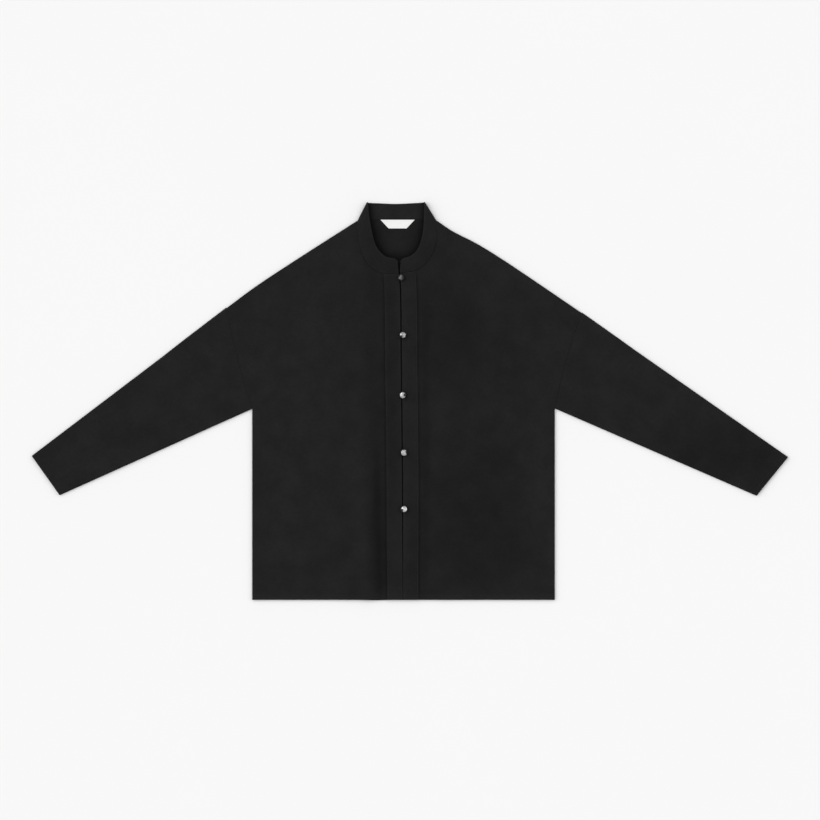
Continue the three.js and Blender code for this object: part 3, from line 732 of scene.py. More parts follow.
def cloth_wall(
    name, grid, wall, out, closed=False, rims=(0.6,) * 4, worn=(1,) * 4, grain=None, nap_and_shade=None, inside_nap_and_shade=None
):
    """A closed wall of cloth: the grid is its outer face, and its edges are rounded.

    out is 1 where the grid's normals point out of the cloth and -1 where they point in.
    rims are how deep the rounding of the first and last row and column goes.
    worn are how much each of those edges has rubbed.
    nap is how dark the outer face is made at each point, and inside_nap_and_shade how dark the inner one is
    made: partly the cloth's nap, partly painted shade.
    """
    normal = normals_of(grid, closed) * out
    distances = rim_distances(grid, closed)
    opened = np.ones(grid.shape[:2])
    wear = np.zeros(grid.shape[:2])
    for distance, rim, rubbed in zip(distances, rims, worn):
        opened = np.minimum(opened, np.sqrt(1 - (1 - np.minimum(distance / rim, 1)) ** 2))
        wear = np.maximum(wear, rubbed * np.exp(-distance / 1.6))
    outer = grid - normal * (wall / 2) * (1 - opened)[..., None]
    inner = grid - normal * (wall / 2) * (1 + opened)[..., None]
    rows, columns = grid.shape[:2]
    outer_at = np.arange(rows * columns).reshape(rows, columns)
    inside = np.ones((rows, columns), bool)
    inside[0] = inside[-1] = False
    if not closed:
        inside[:, 0] = inside[:, -1] = False
    inner_at = outer_at.copy()
    inner_at[inside] = rows * columns + np.arange(inside.sum())
    points = np.vstack([outer.reshape(-1, 3), inner[inside]])
    wears = np.concatenate([wear.ravel(), wear[inside]])
    plan = grid[..., :2] if grain is None else grain
    grains = np.vstack([plan.reshape(-1, 2), plan[inside]])
    outer_nap_and_shade = nap_and_shade_at(grid) if nap_and_shade is None else nap_and_shade
    inner_nap_and_shade = outer_nap_and_shade if inside_nap_and_shade is None else inside_nap_and_shade
    nap_and_shade_values = np.concatenate([outer_nap_and_shade.ravel(), inner_nap_and_shade[inside]])
    j = np.arange(columns if closed else columns - 1)
    quads = []
    for at, turn in ((outer_at, out), (inner_at, -out)):
        a, b = at[:-1, j], at[:-1, (j + 1) % columns]
        c, d = at[1:, (j + 1) % columns], at[1:, j]
        quads.append(np.stack([a, b, c, d] if turn > 0 else [a, d, c, b], -1).reshape(-1, 4))
    return new_mesh(name, points, np.vstack(quads).tolist(), {"wear": wears, "nap_and_shade": nap_and_shade_values}, grains)


def add_object(name, data):
    """An object at the origin, in the scene."""
    made = bpy.data.objects.new(name, data)
    bpy.context.scene.collection.objects.link(made)
    return made


def new_mesh(name, points, faces, values, grain=None):
    """A smooth mesh object, from points in millimetres. Its material reads the values and the grain."""
    mesh = bpy.data.meshes.new(name)
    mesh.from_pydata((np.asarray(points) * MM).tolist(), [], faces)
    mesh.validate()
    mesh.shade_smooth()
    for key, value in values.items():
        mesh.attributes.new(key, "FLOAT", "POINT").data.foreach_set("value", np.asarray(value, np.float32))
    if grain is not None:
        flat = np.zeros((len(grain), 3), np.float32)
        flat[:, :2] = np.asarray(grain) * MM
        mesh.attributes.new("grain", "FLOAT_VECTOR", "POINT").data.foreach_set("vector", flat.ravel())
    return add_object(name, mesh)


def nap_and_shade_at(plan, patches=NAP_AND_SHADE_PATCHES):
    """How dark the cloth is made at each point from listed soft patches: partly its nap, partly painted
    shade.
    """
    x, y = plan[..., 0], plan[..., 1]
    dark = np.zeros(x.shape)
    for (px, py), (reach_x, reach_y), strength in patches:
        dark += strength * np.exp(-(((x - px) / reach_x) ** 2 + ((y - py) / reach_y) ** 2) ** 1.5)
    return dark


def button_shade(plan):
    """Painted shadow round the buttons' stems: how much darker the cloth is made there."""
    x, y = plan[..., 0], plan[..., 1]
    dark = np.zeros(x.shape)
    for row in BUTTONS:
        middle, gape = opening(row["y"])
        gap = np.hypot(x - middle - gape / 2 - STEM_INSET, y - row["y"])
        dark += BUTTON_SHADE * np.exp(-((gap / BUTTON_SHADE_REACH) ** 4))
    return dark


def placket_shade(plan):
    """Painted shadow along a placket's outer edge: how much darker a front is made there."""
    middle, gape = opening(plan[..., 1])
    away = np.abs(plan[..., 0] - middle) - gape / 2 - PLACKET_WIDTH - PLACKET_SHADE_AWAY
    return PLACKET_SHADE * bell(away, PLACKET_SHADE_REACH) * smooth((PLACKET_SHADE_END - plan[..., 1]) / 10)


def armhole_shade(points, name):
    """Painted shade along one armhole seam: how much darker the cloth is made there."""
    gap, _ = to_path(points.reshape(-1, 2), ARMHOLES[name])
    return (ARMHOLE_SHADE * bell(gap, ARMHOLE_SHADE_REACH)).reshape(points.shape[:-1])


def settle(made, node, material):
    """Gives a finished piece its material and body. It stands for the solid named node, if any."""
    if material is not None:
        made.data.materials.clear()
        made.data.materials.append(material)
    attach(made, BODY)
    if node:
        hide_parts(node)


# Outlines and grids of the body and sleeves


def outer_edge(stage, half):
    """A body panel's outer edge by stage: 0 hem, 1 underarm, 2 top of the armhole, 3 neck."""
    stage = np.asarray(stage, float)
    side = mix(half["hem"], half["underarm"], np.clip(stage, 0, 1))
    armhole = armhole_line(half, np.clip(stage - 1, 0, 1))
    shoulder = shoulder_line(half, np.clip((stage - 2) * SHOULDER_STOP, 0, 1))
    chosen = np.where((stage <= 1)[:, None], side, armhole)
    return np.where((stage > 2)[:, None], shoulder, chosen)


def inner_edge(name, stage):
    """A front's inner edge by stage: 0 hem, 1 underarm, 2 armhole top, 3 neck corner, 4 neck."""
    stage = np.asarray(stage, float)
    side = HALVES[name]["side"]
    corner = front_neckline(name, -NECK_TUCK, [0.0])[0]
    y = np.interp(stage, [0, 1, 2, 3], [HEM_Y, -15, 120, corner[1]])
    x, gape = opening(y)
    straight = np.stack([x + side * gape / 2, y], 1)
    neck = front_neckline(name, -NECK_TUCK, np.clip(stage - 3, 0, 1))
    return np.where((stage > 3)[:, None], neck, straight)


def tangents(stage, half):
    """Ways along a body panel's outer edge."""
    step = 0.01
    return outer_edge(np.asarray(stage) + step, half) - outer_edge(np.maximum(stage - step, 0), half)


def from_edge(length, step, near=HEM_ROWS, far=()):
    """Distances along a piece from its edge, close together at the edge and even further on."""
    last = length - (far[-1] if len(far) else 0)
    count = max(int((last - near[-1]) / step), 1)
    even = np.linspace(near[-1], last, count + 1)[1:]
    return np.concatenate([near, even, length - np.asarray(far[:-1])[::-1] if len(far) else []])


def front_panel(name, wall):
    """A front, from the hem to the neck and from the side to the opening."""
    half = HALVES[name]
    height = half["underarm"][1] - HEM_Y
    hem = from_edge(height, FRONT_STEP) / height
    armhole = np.linspace(0, 1, 60)[1:]
    chest = np.linspace(0, 1, 42)[1:]
    neck = np.linspace(0, 1, 84)[1:]
    outer_stage = np.concatenate([hem, 1 + armhole, 2 + 0.06 * chest, 2.06 + 0.94 * neck])
    inner_stage = np.concatenate([hem, 1 + armhole, 2 + chest, 3 + neck])
    outer = outer_edge(outer_stage, half)
    inner = inner_edge(name, inner_stage)
    first = arc_offsets(outer, inner, tangents(outer_stage, half))
    last = np.tile(RIM, (len(outer), 1))
    plan = spread_row(outer, inner, first, last, FRONT_COLUMNS)
    if name == "right":
        bulge = HEM_BULGE * bell(plan[..., 0] - HEM_BULGE_X, HEM_BULGE_REACH)
        plan[..., 1] -= bulge * smooth((HEM_Y + 30 - plan[..., 1]) / 30)
    grid = over_plan(upper_face, plan, "body", SEAM_SHOWN)
    shade = nap_and_shade_at(plan) + button_shade(plan) + placket_shade(plan) + armhole_shade(plan, name)
    worn = (1, 0, 0.5, 0.4)
    rims = (0.6, 0.3, 0.5, 0.6)
    return cloth_wall(f"cloth_front_{name}", grid, wall, -half["side"], rims=rims, worn=worn, nap_and_shade=shade)


def back_panel(wall):
    """The back, from the hem to the neck and from side to side."""
    right, left = HALVES["right"], HALVES["left"]
    height = right["underarm"][1] - HEM_Y
    hem = from_edge(height, BACK_STEP) / height
    armhole = np.linspace(0, 1, 36)[1:]
    shoulder = from_edge(1.0, 0.025, near=[0.0], far=[0.0, 0.002, 0.008, 0.02])[1:]
    stage = np.concatenate([hem, 1 + armhole, 2 + shoulder])
    a, b = outer_edge(stage, right), outer_edge(stage, left)
    first = arc_offsets(a, b, tangents(stage, right))
    last = arc_offsets(b, a, tangents(stage, left))
    plan = spread_row(a, b, first, last, BACK_COLUMNS)
    neck_stages = np.linspace(0, 1, 33)
    neck = neckline(BACK_NECK_SECTION, LAST_SECTION - BACK_NECK_SECTION, BACK_NECK_TUCK, neck_stages)
    neck = np.vstack([a[-1], neck, b[-1]])
    straight = np.interp(plan[..., 0], [a[-1, 0], b[-1, 0]], [a[-1, 1], b[-1, 1]])
    rise = np.interp(plan[..., 0], neck[:, 0], neck[:, 1]) - straight
    plan[..., 1] += rise * smooth((stage - 2.8) / 0.2)[:, None]
    grid = over_plan(lower_face, plan, "body", SEAM_SHOWN)
    # Painted shade on the back's inside face: darker into the neck and beside the collar's free edge
    depth = smooth((plan[..., 1] - NECK_DEPTH_START) / NECK_DEPTH_REACH)
    inside = (neck_shade(grid[..., :2]) + NECK_DEPTH_SHADE) * depth
    nap_and_shade = nap_and_shade_at(plan, BACK_NAP_PATCHES)
    rims = (0.6, 0.6, 0.3, 0.3)
    worn = (1, 0, 0.5, 0.5)
    return cloth_wall("cloth_back", grid, wall, -1, rims=rims, worn=worn, nap_and_shade=nap_and_shade, inside_nap_and_shade=nap_and_shade + inside)


def sleeve_tube(name, wall):
    """Rings from the armhole to the cuff, each a flattened loop with round folds."""
    half = HALVES[name]
    long = math.dist(half["armhole_top"], half["cuff_top"])
    s = from_edge(long, BAND_STEP, near=[*RIM, 1.5, 3.0, 5.0], far=HEM_ROWS) / long
    top = mix(half["armhole_top"], half["cuff_top"], s)
    bottom = mix(half["underarm"], half["cuff_bottom"], s)
    along = np.tile(np.subtract(half["cuff_top"], half["armhole_top"]), (len(s), 1))
    first, last = arc_offsets(top, bottom, along), arc_offsets(bottom, top, along)
    over = spread_row(top, bottom, first, last, SLEEVE_COLUMNS)
    width = np.linalg.norm(bottom - top, axis=1)[:, None]
    t = np.linalg.norm(over - top[:, None], axis=2) / width
    sag = half["armhole_sag"] * np.sin(np.pi * (1 - t))
    over[..., 0] += sag * (1 - s[:, None]) ** 2 + half["side"] * SEAM_SHOWN * (1 - s[:, None])
    under = over[:, -2:0:-1]
    grid = np.concatenate([over_plan(upper_face, over, name), over_plan(lower_face, under, name)], axis=1)
    angle = math.atan2(*np.subtract(half["cuff_top"], half["armhole_top"])[::-1])
    turn = np.array([[math.cos(angle), -math.sin(angle)], [math.sin(angle), math.cos(angle)]])
    shade = nap_and_shade_at(grid) + armhole_shade(grid[..., :2], name)
    grain = grid[..., :2] @ turn
    return cloth_wall(f"cloth_sleeve_{name}", grid, wall, half["side"], closed=True, grain=grain, nap_and_shade=shade)


def placket_band(name, wall):
    """A placket, from the opening to its outer edge and from the hem to the neck."""
    side = HALVES[name]["side"]
    edge_stitch = bpy.context.scene.laid_top_cloth.edge_stitch / MM
    near = [*RIM, 1.0, 1.4, edge_stitch - 0.3, edge_stitch, edge_stitch + 0.3, edge_stitch + 0.8, 4.2]
    across = from_edge(PLACKET_WIDTH, 2.4, near=near, far=near)
    head = front_neckline(name, 2 * SEAM, np.linspace(0, 0.5, 24))
    x_head, _ = opening(head[:1, 1])
    order = np.argsort(side * head[:, 0])
    top = np.interp(side * (x_head + side * across), side * head[order, 0], head[order, 1])
    long = top.mean() - HEM_Y
    share = from_edge(long, BAND_STEP, far=[*RIM, 1.5, 3.0]) / long
    y = HEM_Y + (top - HEM_Y) * share[:, None]
    x, gape = opening(y)
    plan = np.stack([x + side * (gape / 2 + across), y], -1)
    z = placket_height(plan.reshape(-1, 2), wall).reshape(y.shape)
    from_stitch = np.minimum(across, PLACKET_WIDTH - across) - edge_stitch
    z += PLACKET_CROWN * smooth(from_stitch / 5) - PLACKET_SINK * bell(from_stitch, 0.7)
    grid = np.concatenate([plan, z[..., None]], -1)
    return cloth_wall(f"cloth_placket_{name}", grid, wall, side, nap_and_shade=nap_and_shade_at(grid) + button_shade(grid))


def collar_face(sections, t):
    """The collar's outer face at sections round it, at shares t of its height from the sewn edge."""
    shape = np.shape(sections)
    sections, t = np.ravel(sections), np.ravel(t)
    sewn = spline(SEWN_LINE, sections / LAST_SECTION)
    free = spline(FREE_LINE, sections / LAST_SECTION)
    from_end = np.minimum(sections, LAST_SECTION - sections) / COLLAR_CORNER_SECTIONS
    short = COLLAR_CORNER_DROP * (1 - np.sqrt(1 - (1 - np.clip(from_end, 0, 1)) ** 2))
    standing = smooth(sewn[:, 2] / COLLAR_SEWN_HEIGHT)
    points = mix(sewn, free, t * (1 - short))
    points[:, 2] += standing * (COLLAR_ROLL * np.sin(np.pi * t) + COLLAR_STAND * t**2)
    points[:, 2] = np.maximum(points[:, 2], 0)
    return points.reshape(*shape, 3)


def collar_band(wall):
    """The stand collar, round the neck from one front corner to the other."""
    edge_stitch = bpy.context.scene.laid_top_cloth.edge_stitch / MM
    near = [0.0, 0.12, 0.45, 0.9, 1.4, edge_stitch - 0.3, edge_stitch, edge_stitch + 0.3, 3.2, 4.4]
    t = from_edge(COLLAR_HEIGHT, 1.6, near=near, far=near) / COLLAR_HEIGHT
    ends = np.array([0, 0.006, 0.024, 0.05, 0.08, 0.12, 0.17, 0.23])
    inside = np.linspace(0.3, LAST_SECTION - 0.3, 11 * LAST_SECTION)
    sections = np.concatenate([ends, inside, LAST_SECTION - ends[::-1]])
    grid = collar_face(*np.meshgrid(sections, t, indexing="ij"))
    from_side = np.minimum(t, 1 - t) * COLLAR_HEIGHT
    from_stitch = from_side - edge_stitch
    crown = COLLAR_CROWN * smooth(from_stitch / 4) - COLLAR_SINK * bell(from_stitch, 0.5)
    run = lengths(grid[:, 0])[:, None]
    ripple = COLLAR_PUCKER * pucker(run, 1.8, 19) * bell(from_side, 3.5)
    lifted = grid[..., 2:] > 0.5
    grid = grid + normals_of(grid) * (crown + ripple)[..., None] * lifted
    grain = np.stack(np.broadcast_arrays(run, t * COLLAR_HEIGHT), -1)
    z = grid[..., 2]
    nap_and_shade = nap_and_shade_at(grid)
    # Painted shadow on the collar's inside beside its fronts' free edges, and a lighter flat back
    shade = neck_shade(grid[..., :2]) * smooth((6 - z) / 3) + COLLAR_BACK_SHADE * smooth((3 - z) / 2)
    rims = (0.9, 0.9, 0.5, 0.9)
    worn = (0.5, 0.5, 0.0, 0.6)
    return cloth_wall(
        "cloth_collar", grid, wall, 1, rims=rims, worn=worn, grain=grain, nap_and_shade=nap_and_shade, inside_nap_and_shade=nap_and_shade + shade
    )


def collar_stitch_line(edge, which):
    """The collar's edge stitching and the way up beside it, along its sewn edge or round its free one."""
    end = edge / COLLAR_SECTION_LENGTH
    share = edge / COLLAR_HEIGHT
    if which == "sewn":
        sections = np.linspace(end, LAST_SECTION - end, 420)
        t = np.full(420, share)
    else:
        turn = np.linspace(0, np.pi / 2, 12)[1:-1]
        corner = 0.30
        up = np.linspace(share, 1 - share - 0.12, 30)
        first = np.concatenate([np.full(30, end), end + corner * (1 - np.cos(turn))])
        rise = np.concatenate([up, up[-1] + 0.12 * np.sin(turn)])
        middle = np.linspace(end + corner, LAST_SECTION - end - corner, 400)
        sections = np.concatenate([first, middle, LAST_SECTION - first[::-1]])
        t = np.concatenate([rise, np.full(400, 1 - share), rise[::-1]])
    around = collar_face(sections + 0.01, t) - collar_face(sections - 0.01, t)
    normal = np.cross(collar_face(sections, t + 0.02) - collar_face(sections, t - 0.02), around)
    normal /= np.linalg.norm(normal, axis=1, keepdims=True)
    return collar_face(sections, t) + normal * COLLAR_STITCH_LIFT, normal


def label_strip():
    """A woven strip whose ends are folded behind at 45 degrees."""
    middle, top, height = LABEL["middle"], LABEL["top"], LABEL["height"]
    down = from_edge(height, 0.7, near=LABEL_RIM, far=LABEL_RIM)
    along = from_edge(1.0, 0.02, near=[0.0, 0.002, 0.006, 0.013], far=[0.0, 0.002, 0.006, 0.013])
    half_width = (LABEL["top_width"] + (LABEL["bottom_width"] - LABEL["top_width"]) * down / height) / 2
    x = middle + half_width[:, None] * (2 * along - 1)
    y = np.broadcast_to((top - down)[:, None], x.shape)
    wave = 0.10 * np.sin((x - middle) / 9.0) + 0.07 * np.sin((x - middle) / 4.1 + y / 5.0)
    z = LABEL_LIFT + wave - 0.12 * smooth((2.4 - down) / 1.2)[:, None]
    strip = np.stack([x, y, z], -1)
    parts = [cloth_wall("label_front", strip, LABEL_WALL, -1, rims=(LABEL_WALL / 2,) * 4)]
    fold = (LABEL["top_width"] - LABEL["bottom_width"]) / 2
    share = np.linspace(0, 1, 14)
    depth = np.maximum(share * height, 0.02)
    reach = fold * (1 - share) + 0.02
    across = np.linspace(0, 1, 12)
    for side in (-1, 1):
        tip = middle + side * LABEL["top_width"] / 2
        x = tip - side * (share[:, None] * fold + 0.25) - side * across * reach[:, None]
        y = np.broadcast_to((top - depth)[:, None], x.shape) - 0.15
        z = FLAP_LIFT + 0.04 * np.sin(x / 3.0)
        flap = np.stack([x, y, z], -1)
        parts.append(cloth_wall(f"label_flap_{side}", flap, FLAP_WALL, side, rims=(FLAP_WALL / 2,) * 4))
    return join(parts, "label_strip")


def join(parts, name):
    """One mesh object from several."""
    mesh = bmesh.new()
    for part in parts:
        mesh.from_mesh(part.data)
    keep = parts[0].data
    mesh.to_mesh(keep)
    mesh.free()
    for part in parts[1:]:
        old = part.data
        bpy.data.objects.remove(part)
        bpy.data.meshes.remove(old)
    parts[0].name = name
    keep.name = name
    return parts[0]


# Buttons, loops and stitching


def button_place(row, wall):
    """Where a button's stem stands, and how the button leans."""
    x, gape = opening(np.array([row["y"]]))
    at = float(x[0] + gape[0] / 2 + STEM_INSET)
    height = float(laid_height(np.array([[at, row["y"]]]))[0]) + SEAM + wall
    tilt = math.radians(math.hypot(row["lean_x"], row["lean_y"]))
    lean = Matrix.Rotation(math.radians(row["lean_y"]), 4, "X")
    lean = lean @ Matrix.Rotation(math.radians(row["lean_x"]), 4, "Y")
    return Matrix.Translation((at, row["y"], height + SEAM + STEM_RADIUS * math.sin(tilt))) @ lean


def button_profile(radius):
    """A button's outline from the cloth to the middle of its face, and where its underside and face start."""
    stem = []
    for i in range(STEM_RINGS):
        up = i / (STEM_RINGS - 1)
        stem.append((STEM_RADIUS * (0.96 + 0.05 * (i % 2)) * (1 - 0.16 * up), STEM_HEIGHT * 0.94 * up))
    under = [
        (radius * 0.34, STEM_HEIGHT * 0.97),
        (radius * 0.6, STEM_HEIGHT),
        (radius * 0.82, STEM_HEIGHT + radius * 0.04),
    ]
    rim = [
        (radius * (0.82 + 0.18 * math.cos(a)), STEM_HEIGHT + radius * (0.17 + 0.15 * math.sin(a)))
        for a in np.linspace(-0.45 * np.pi, 0.42 * np.pi, 9)
    ]
    face = []
    for share in np.linspace(0.98, 0.0, FACE_RINGS):
        crown = 0.325 + 0.195 * (1 - share**2.4)
        groove = -0.035 * bell(share - 0.93, 0.05)
        face.append((radius * 0.87 * share, STEM_HEIGHT + radius * (crown + groove)))
    return np.array(stem + under + rim + face), len(stem), len(stem + under + rim)


def hammered_button(index, row, wall):
    """A domed metal head with a hammered face and a rolled rim, on a stem wound with thread."""
    settings = bpy.context.scene.laid_top_buttons
    radius = row["across"] / 2
    rng = np.random.default_rng(settings.seed + index)
    profile, first_under, first_face = button_profile(radius)
    centres = rng.uniform(-0.9, 0.9, (60, 2)) * radius
    centres = centres[np.linalg.norm(centres, axis=1) < 0.86 * radius][: settings.dents]
    deep = rng.uniform(0.6, 1.0, len(centres))
    points = [(0.0, 0.0, 0.0)]
    dent_and_reflection_dark = [0.6]
    for i, (r, z) in enumerate(profile[:-1]):
        for a in np.linspace(0, 2 * np.pi, settings.segments, endpoint=False):
            x, y = r * math.cos(a), r * math.sin(a)
            sink = dark = edge = 0.0
            if i >= first_face:
                gap = np.hypot(centres[:, 0] - x, centres[:, 1] - y)
                nearest = gap.argmin()
                sink = deep[nearest] * max(0.0, 1 - (gap[nearest] / DENT_REACH) ** 2)
                dark = DENT_DARK * sink
                edge = float(smooth((radius * 0.97 - r) / (0.16 * radius)))
            # The big hollows are real dents, painted dark as well for dark reflections
            for hx, hy, reach in row["hollows"]:
                near = math.hypot(x / radius - hx, y / radius - hy) / reach
                pit = math.exp(-(near**2.6))
                sink += HOLLOW_DEPTH * pit
                dark = max(dark, HOLLOW_REFLECTION_DARK * pit)
            points.append((x, y, z - settings.dent_depth / MM * sink * edge))
            # The underside and the rolled rim are painted dark, as shade and as the reflection of the dark
            # cloth
            dent_and_reflection_dark.append(max(dark, RIM_AND_UNDERSIDE_SHADE * (1 - edge)))
    points.append((0.0, 0.0, profile[-1, 1]))
    dent_and_reflection_dark.append(0.1)
    count = settings.segments
    sides = [(k, (k + 1) % count) for k in range(count)]
    faces = [(0, 1 + b, 1 + a) for a, b in sides]
    last = 1 + (len(profile) - 2) * count
    for low in range(1, last, count):
        faces += [(low + a, low + b, low + count + b, low + count + a) for a, b in sides]
    faces += [(last + a, last + b, len(points) - 1) for a, b in sides]
    place = button_place(row, wall)
    values = {"dent_and_reflection_dark": dent_and_reflection_dark, "tarnish_and_shade": np.full(len(points), row["tarnish_and_shade"])}
    made = new_mesh(f"button_head_{index + 1}", [place @ Vector(p) for p in points], faces, values)
    made.data.materials.append(metal_material())
    made.data.materials.append(thread_material())
    for polygon in made.data.polygons:
        if max(polygon.vertices) < 1 + count * first_under:
            polygon.material_index = 1
    return made


def loop_route(row, wall):
    """A cord loop's middle line: out over the opening, round the stem and back."""
    x, gape = (float(v[0]) for v in opening(np.array([row["y"]])))
    stem_x = x + gape / 2 + STEM_INSET
    reach = STEM_RADIUS + LOOP_CORD / 2 + LOOP_PLAY
    start_x = x - gape / 2 - LOOP_START
    tops = laid_height(np.array([[start_x, row["y"]], [stem_x, row["y"]]])) + SEAM + wall
    z = tops.max() + SEAM + LOOP_CORD / 2
    way_out = [
        (start_x - 2.2, 0.9, z - 1.5),
        (start_x - 1.1, 0.95, z - 0.35),
        (start_x, 1, z - 0.05),
        ((start_x + stem_x) / 2, 1, z),
        (stem_x, 1, z),
        (stem_x + reach * 0.71, 0.71, z),
    ]
    route = [(px, row["y"] - reach * share, pz) for px, share, pz in way_out]
    route.append((stem_x + reach, row["y"], z))
    route += [(px, row["y"] + reach * share, pz) for px, share, pz in reversed(way_out)]
    return even_spline(route, np.linspace(0, 1, LOOP_POINTS))


def line_object(name, lines):
    """An object of open lines, for a tree to follow. Each line is its points and the way up at each."""
    points, edges, ups = [], [], []
    for line, up in lines:
        start = len(points)
        points += (np.asarray(line) * MM).tolist()
        edges += [(start + i, start + i + 1) for i in range(len(line) - 1)]
        ups.append(np.broadcast_to(up, np.shape(line)))
    mesh = bpy.data.meshes.new(name)
    mesh.from_pydata(points, edges, [])
    flat = np.vstack(ups).astype(np.float32).ravel()
    mesh.attributes.new("up", "FLOAT_VECTOR", "POINT").data.foreach_set("vector", flat)
    return add_object(name, mesh)


def plug(tree, socket, value):
    """Gives an input a value or a link. A node stands for its first output."""
    if isinstance(value, bpy.types.Node):
        value = value.outputs[0]
    if isinstance(value, bpy.types.NodeSocket):
        tree.links.new(value, socket)
    else:
        socket.default_value = value


def add_node(tree, kind, inputs=None, **settings):
    """A node with its settings and inputs."""
    made = tree.nodes.new(kind)
    for key, value in settings.items():
        setattr(made, key, value)
    for key, value in (inputs or {}).items():
        plug(tree, made.inputs[key], value)
    return made


def maths(tree, operation, *values):
    """The output of a maths node."""
    return add_node(tree, "ShaderNodeMath", dict(enumerate(values)), operation=operation).outputs[0]


def vector(tree, **parts):
    """The output of a node that joins X, Y and Z."""
    return add_node(tree, "ShaderNodeCombineXYZ", parts).outputs[0]


def vector_maths(tree, operation, inputs):
    """The output of a vector maths node."""
    return add_node(tree, "ShaderNodeVectorMath", inputs, operation=operation).outputs[0]


def once(kept, name):
    """Lets a maker of one named tree or material run only the first time, and gives what it made."""

    def wrap(make):
        return lambda: getattr(bpy.data, kept).get(name) or make(name)

    return wrap


def new_tree(name, kind, inputs, outputs):
    """A node group with the given inputs and outputs, and the sockets that they show inside it."""
    tree = bpy.data.node_groups.new(name, kind)
    for label, (socket_kind, default) in inputs.items():
        socket = tree.interface.new_socket(label, in_out="INPUT", socket_type=f"NodeSocket{socket_kind}")
        if default is not None:
            socket.default_value = default
    for label, socket_kind in outputs.items():
        tree.interface.new_socket(label, in_out="OUTPUT", socket_type=f"NodeSocket{socket_kind}")
    return tree, tree.nodes.new("NodeGroupInput").outputs, tree.nodes.new("NodeGroupOutput").inputs


def make_real(tree, geometry, given, result):
    """Ends a geometry tree: its instances made real, in the given material."""
    real = add_node(tree, "GeometryNodeRealizeInstances", {"Geometry": geometry})
    painted = add_node(tree, "GeometryNodeSetMaterial", {"Geometry": real, "Material": given["Material"]})
    plug(tree, result["Geometry"], painted)


@once("node_groups", "Stitches along a line")
def stitch_tree(name):
    """Stitches at an even pitch along every line, each a short bowed thread that dips at both ends."""
    tree, given, result = new_tree(name, "GeometryNodeTree", {
        "Geometry": ("Geometry", None),
        "Pitch": ("Float", 0.0029),
        "Length": ("Float", 0.0024),
        "Thread": ("Float", 0.00034),
        "Sideways": ("Float", 0.0),
        "Seed": ("Int", 7),
        "Material": ("Material", None),
    }, {"Geometry": "Geometry"})
    line = add_node(tree, "GeometryNodeMeshToCurve", {"Mesh": given["Geometry"]})
    spaced = {"Curve": line, "Length": given["Pitch"]}
    points = add_node(tree, "GeometryNodeResampleCurve", spaced, mode="LENGTH")
    half = maths(tree, "MULTIPLY", given["Length"], 0.5)
    dip = maths(tree, "MULTIPLY", given["Thread"], -0.75)
    arch = add_node(tree, "GeometryNodeCurveQuadraticBezier", {
        "Resolution": 4,
        "Start": vector(tree, X=maths(tree, "MULTIPLY", half, -1.0), Z=dip),
        "Middle": vector(tree, Z=maths(tree, "MULTIPLY", given["Thread"], 1.3)),
        "End": vector(tree, X=half, Z=dip),
    })
    ring = add_node(tree, "GeometryNodeCurvePrimitiveCircle", {
        "Resolution": 5, "Radius": maths(tree, "MULTIPLY", given["Thread"], 0.5),
    })
    thread = add_node(tree, "GeometryNodeCurveToMesh", {
        "Curve": arch, "Profile Curve": ring, "Fill Caps": True,
    })
    soft = add_node(tree, "GeometryNodeSetShadeSmooth", {"Geometry": thread})
    way = add_node(tree, "GeometryNodeInputTangent")
    up = add_node(tree, "GeometryNodeInputNamedAttribute", {"Name": "up"}, data_type="FLOAT_VECTOR")
    aimed = add_node(tree, "FunctionNodeAlignRotationToVector", {"Vector": way}, axis="X")
    upright = add_node(tree, "FunctionNodeAlignRotationToVector", {
        "Rotation": aimed, "Vector": up,
    }, axis="Z", pivot_axis="X")
    chance = add_node(tree, "FunctionNodeRandomValue", {
        2: -0.07, 3: 0.07, "Seed": given["Seed"],
    }, data_type="FLOAT")
    swing = maths(tree, "ADD", chance.outputs[1], given["Sideways"])
    turned = add_node(tree, "FunctionNodeRotateRotation", {
        "Rotation": upright, "Rotate By": vector(tree, Z=swing),
    }, rotation_space="LOCAL")
    stitches = add_node(tree, "GeometryNodeInstanceOnPoints", {
        "Points": points, "Instance": soft, "Rotation": turned,
    })
    make_real(tree, stitches, given, result)
    return tree


@once("node_groups", "Laid cord along a line")
def cord_tree(name):
    """A laid cord along every line: strands set round the line and twisted about it."""
    tree, given, result = new_tree(name, "GeometryNodeTree", {
        "Geometry": ("Geometry", None),
        "Thickness": ("Float", 0.0012),
        "Strands": ("Int", 3),
        "Lay": ("Float", 0.0034),
        "Material": ("Material", None),
    }, {"Geometry": "Geometry"})
    line = add_node(tree, "GeometryNodeMeshToCurve", {"Mesh": given["Geometry"]})
    along = add_node(tree, "GeometryNodeSplineParameter").outputs["Length"]
    angle = maths(tree, "MULTIPLY", maths(tree, "DIVIDE", along, given["Lay"]), 2 * math.pi)
    twisted = add_node(tree, "GeometryNodeSetCurveTilt", {"Curve": line, "Tilt": angle})
    middles = add_node(tree, "GeometryNodeMeshCircle", {
        "Vertices": given["Strands"], "Radius": maths(tree, "MULTIPLY", given["Thickness"], 0.25),
    })
    ring = add_node(tree, "GeometryNodeCurvePrimitiveCircle", {
        "Resolution": 8, "Radius": maths(tree, "MULTIPLY", given["Thickness"], 0.27),
    })
    rings = add_node(tree, "GeometryNodeInstanceOnPoints", {"Points": middles, "Instance": ring})
    profile = add_node(tree, "GeometryNodeRealizeInstances", {"Geometry": rings})
    tube = add_node(tree, "GeometryNodeCurveToMesh", {
        "Curve": twisted, "Profile Curve": profile, "Fill Caps": True,
    })
    make_real(tree, add_node(tree, "GeometryNodeSetShadeSmooth", {"Geometry": tube}), given, result)
    return tree


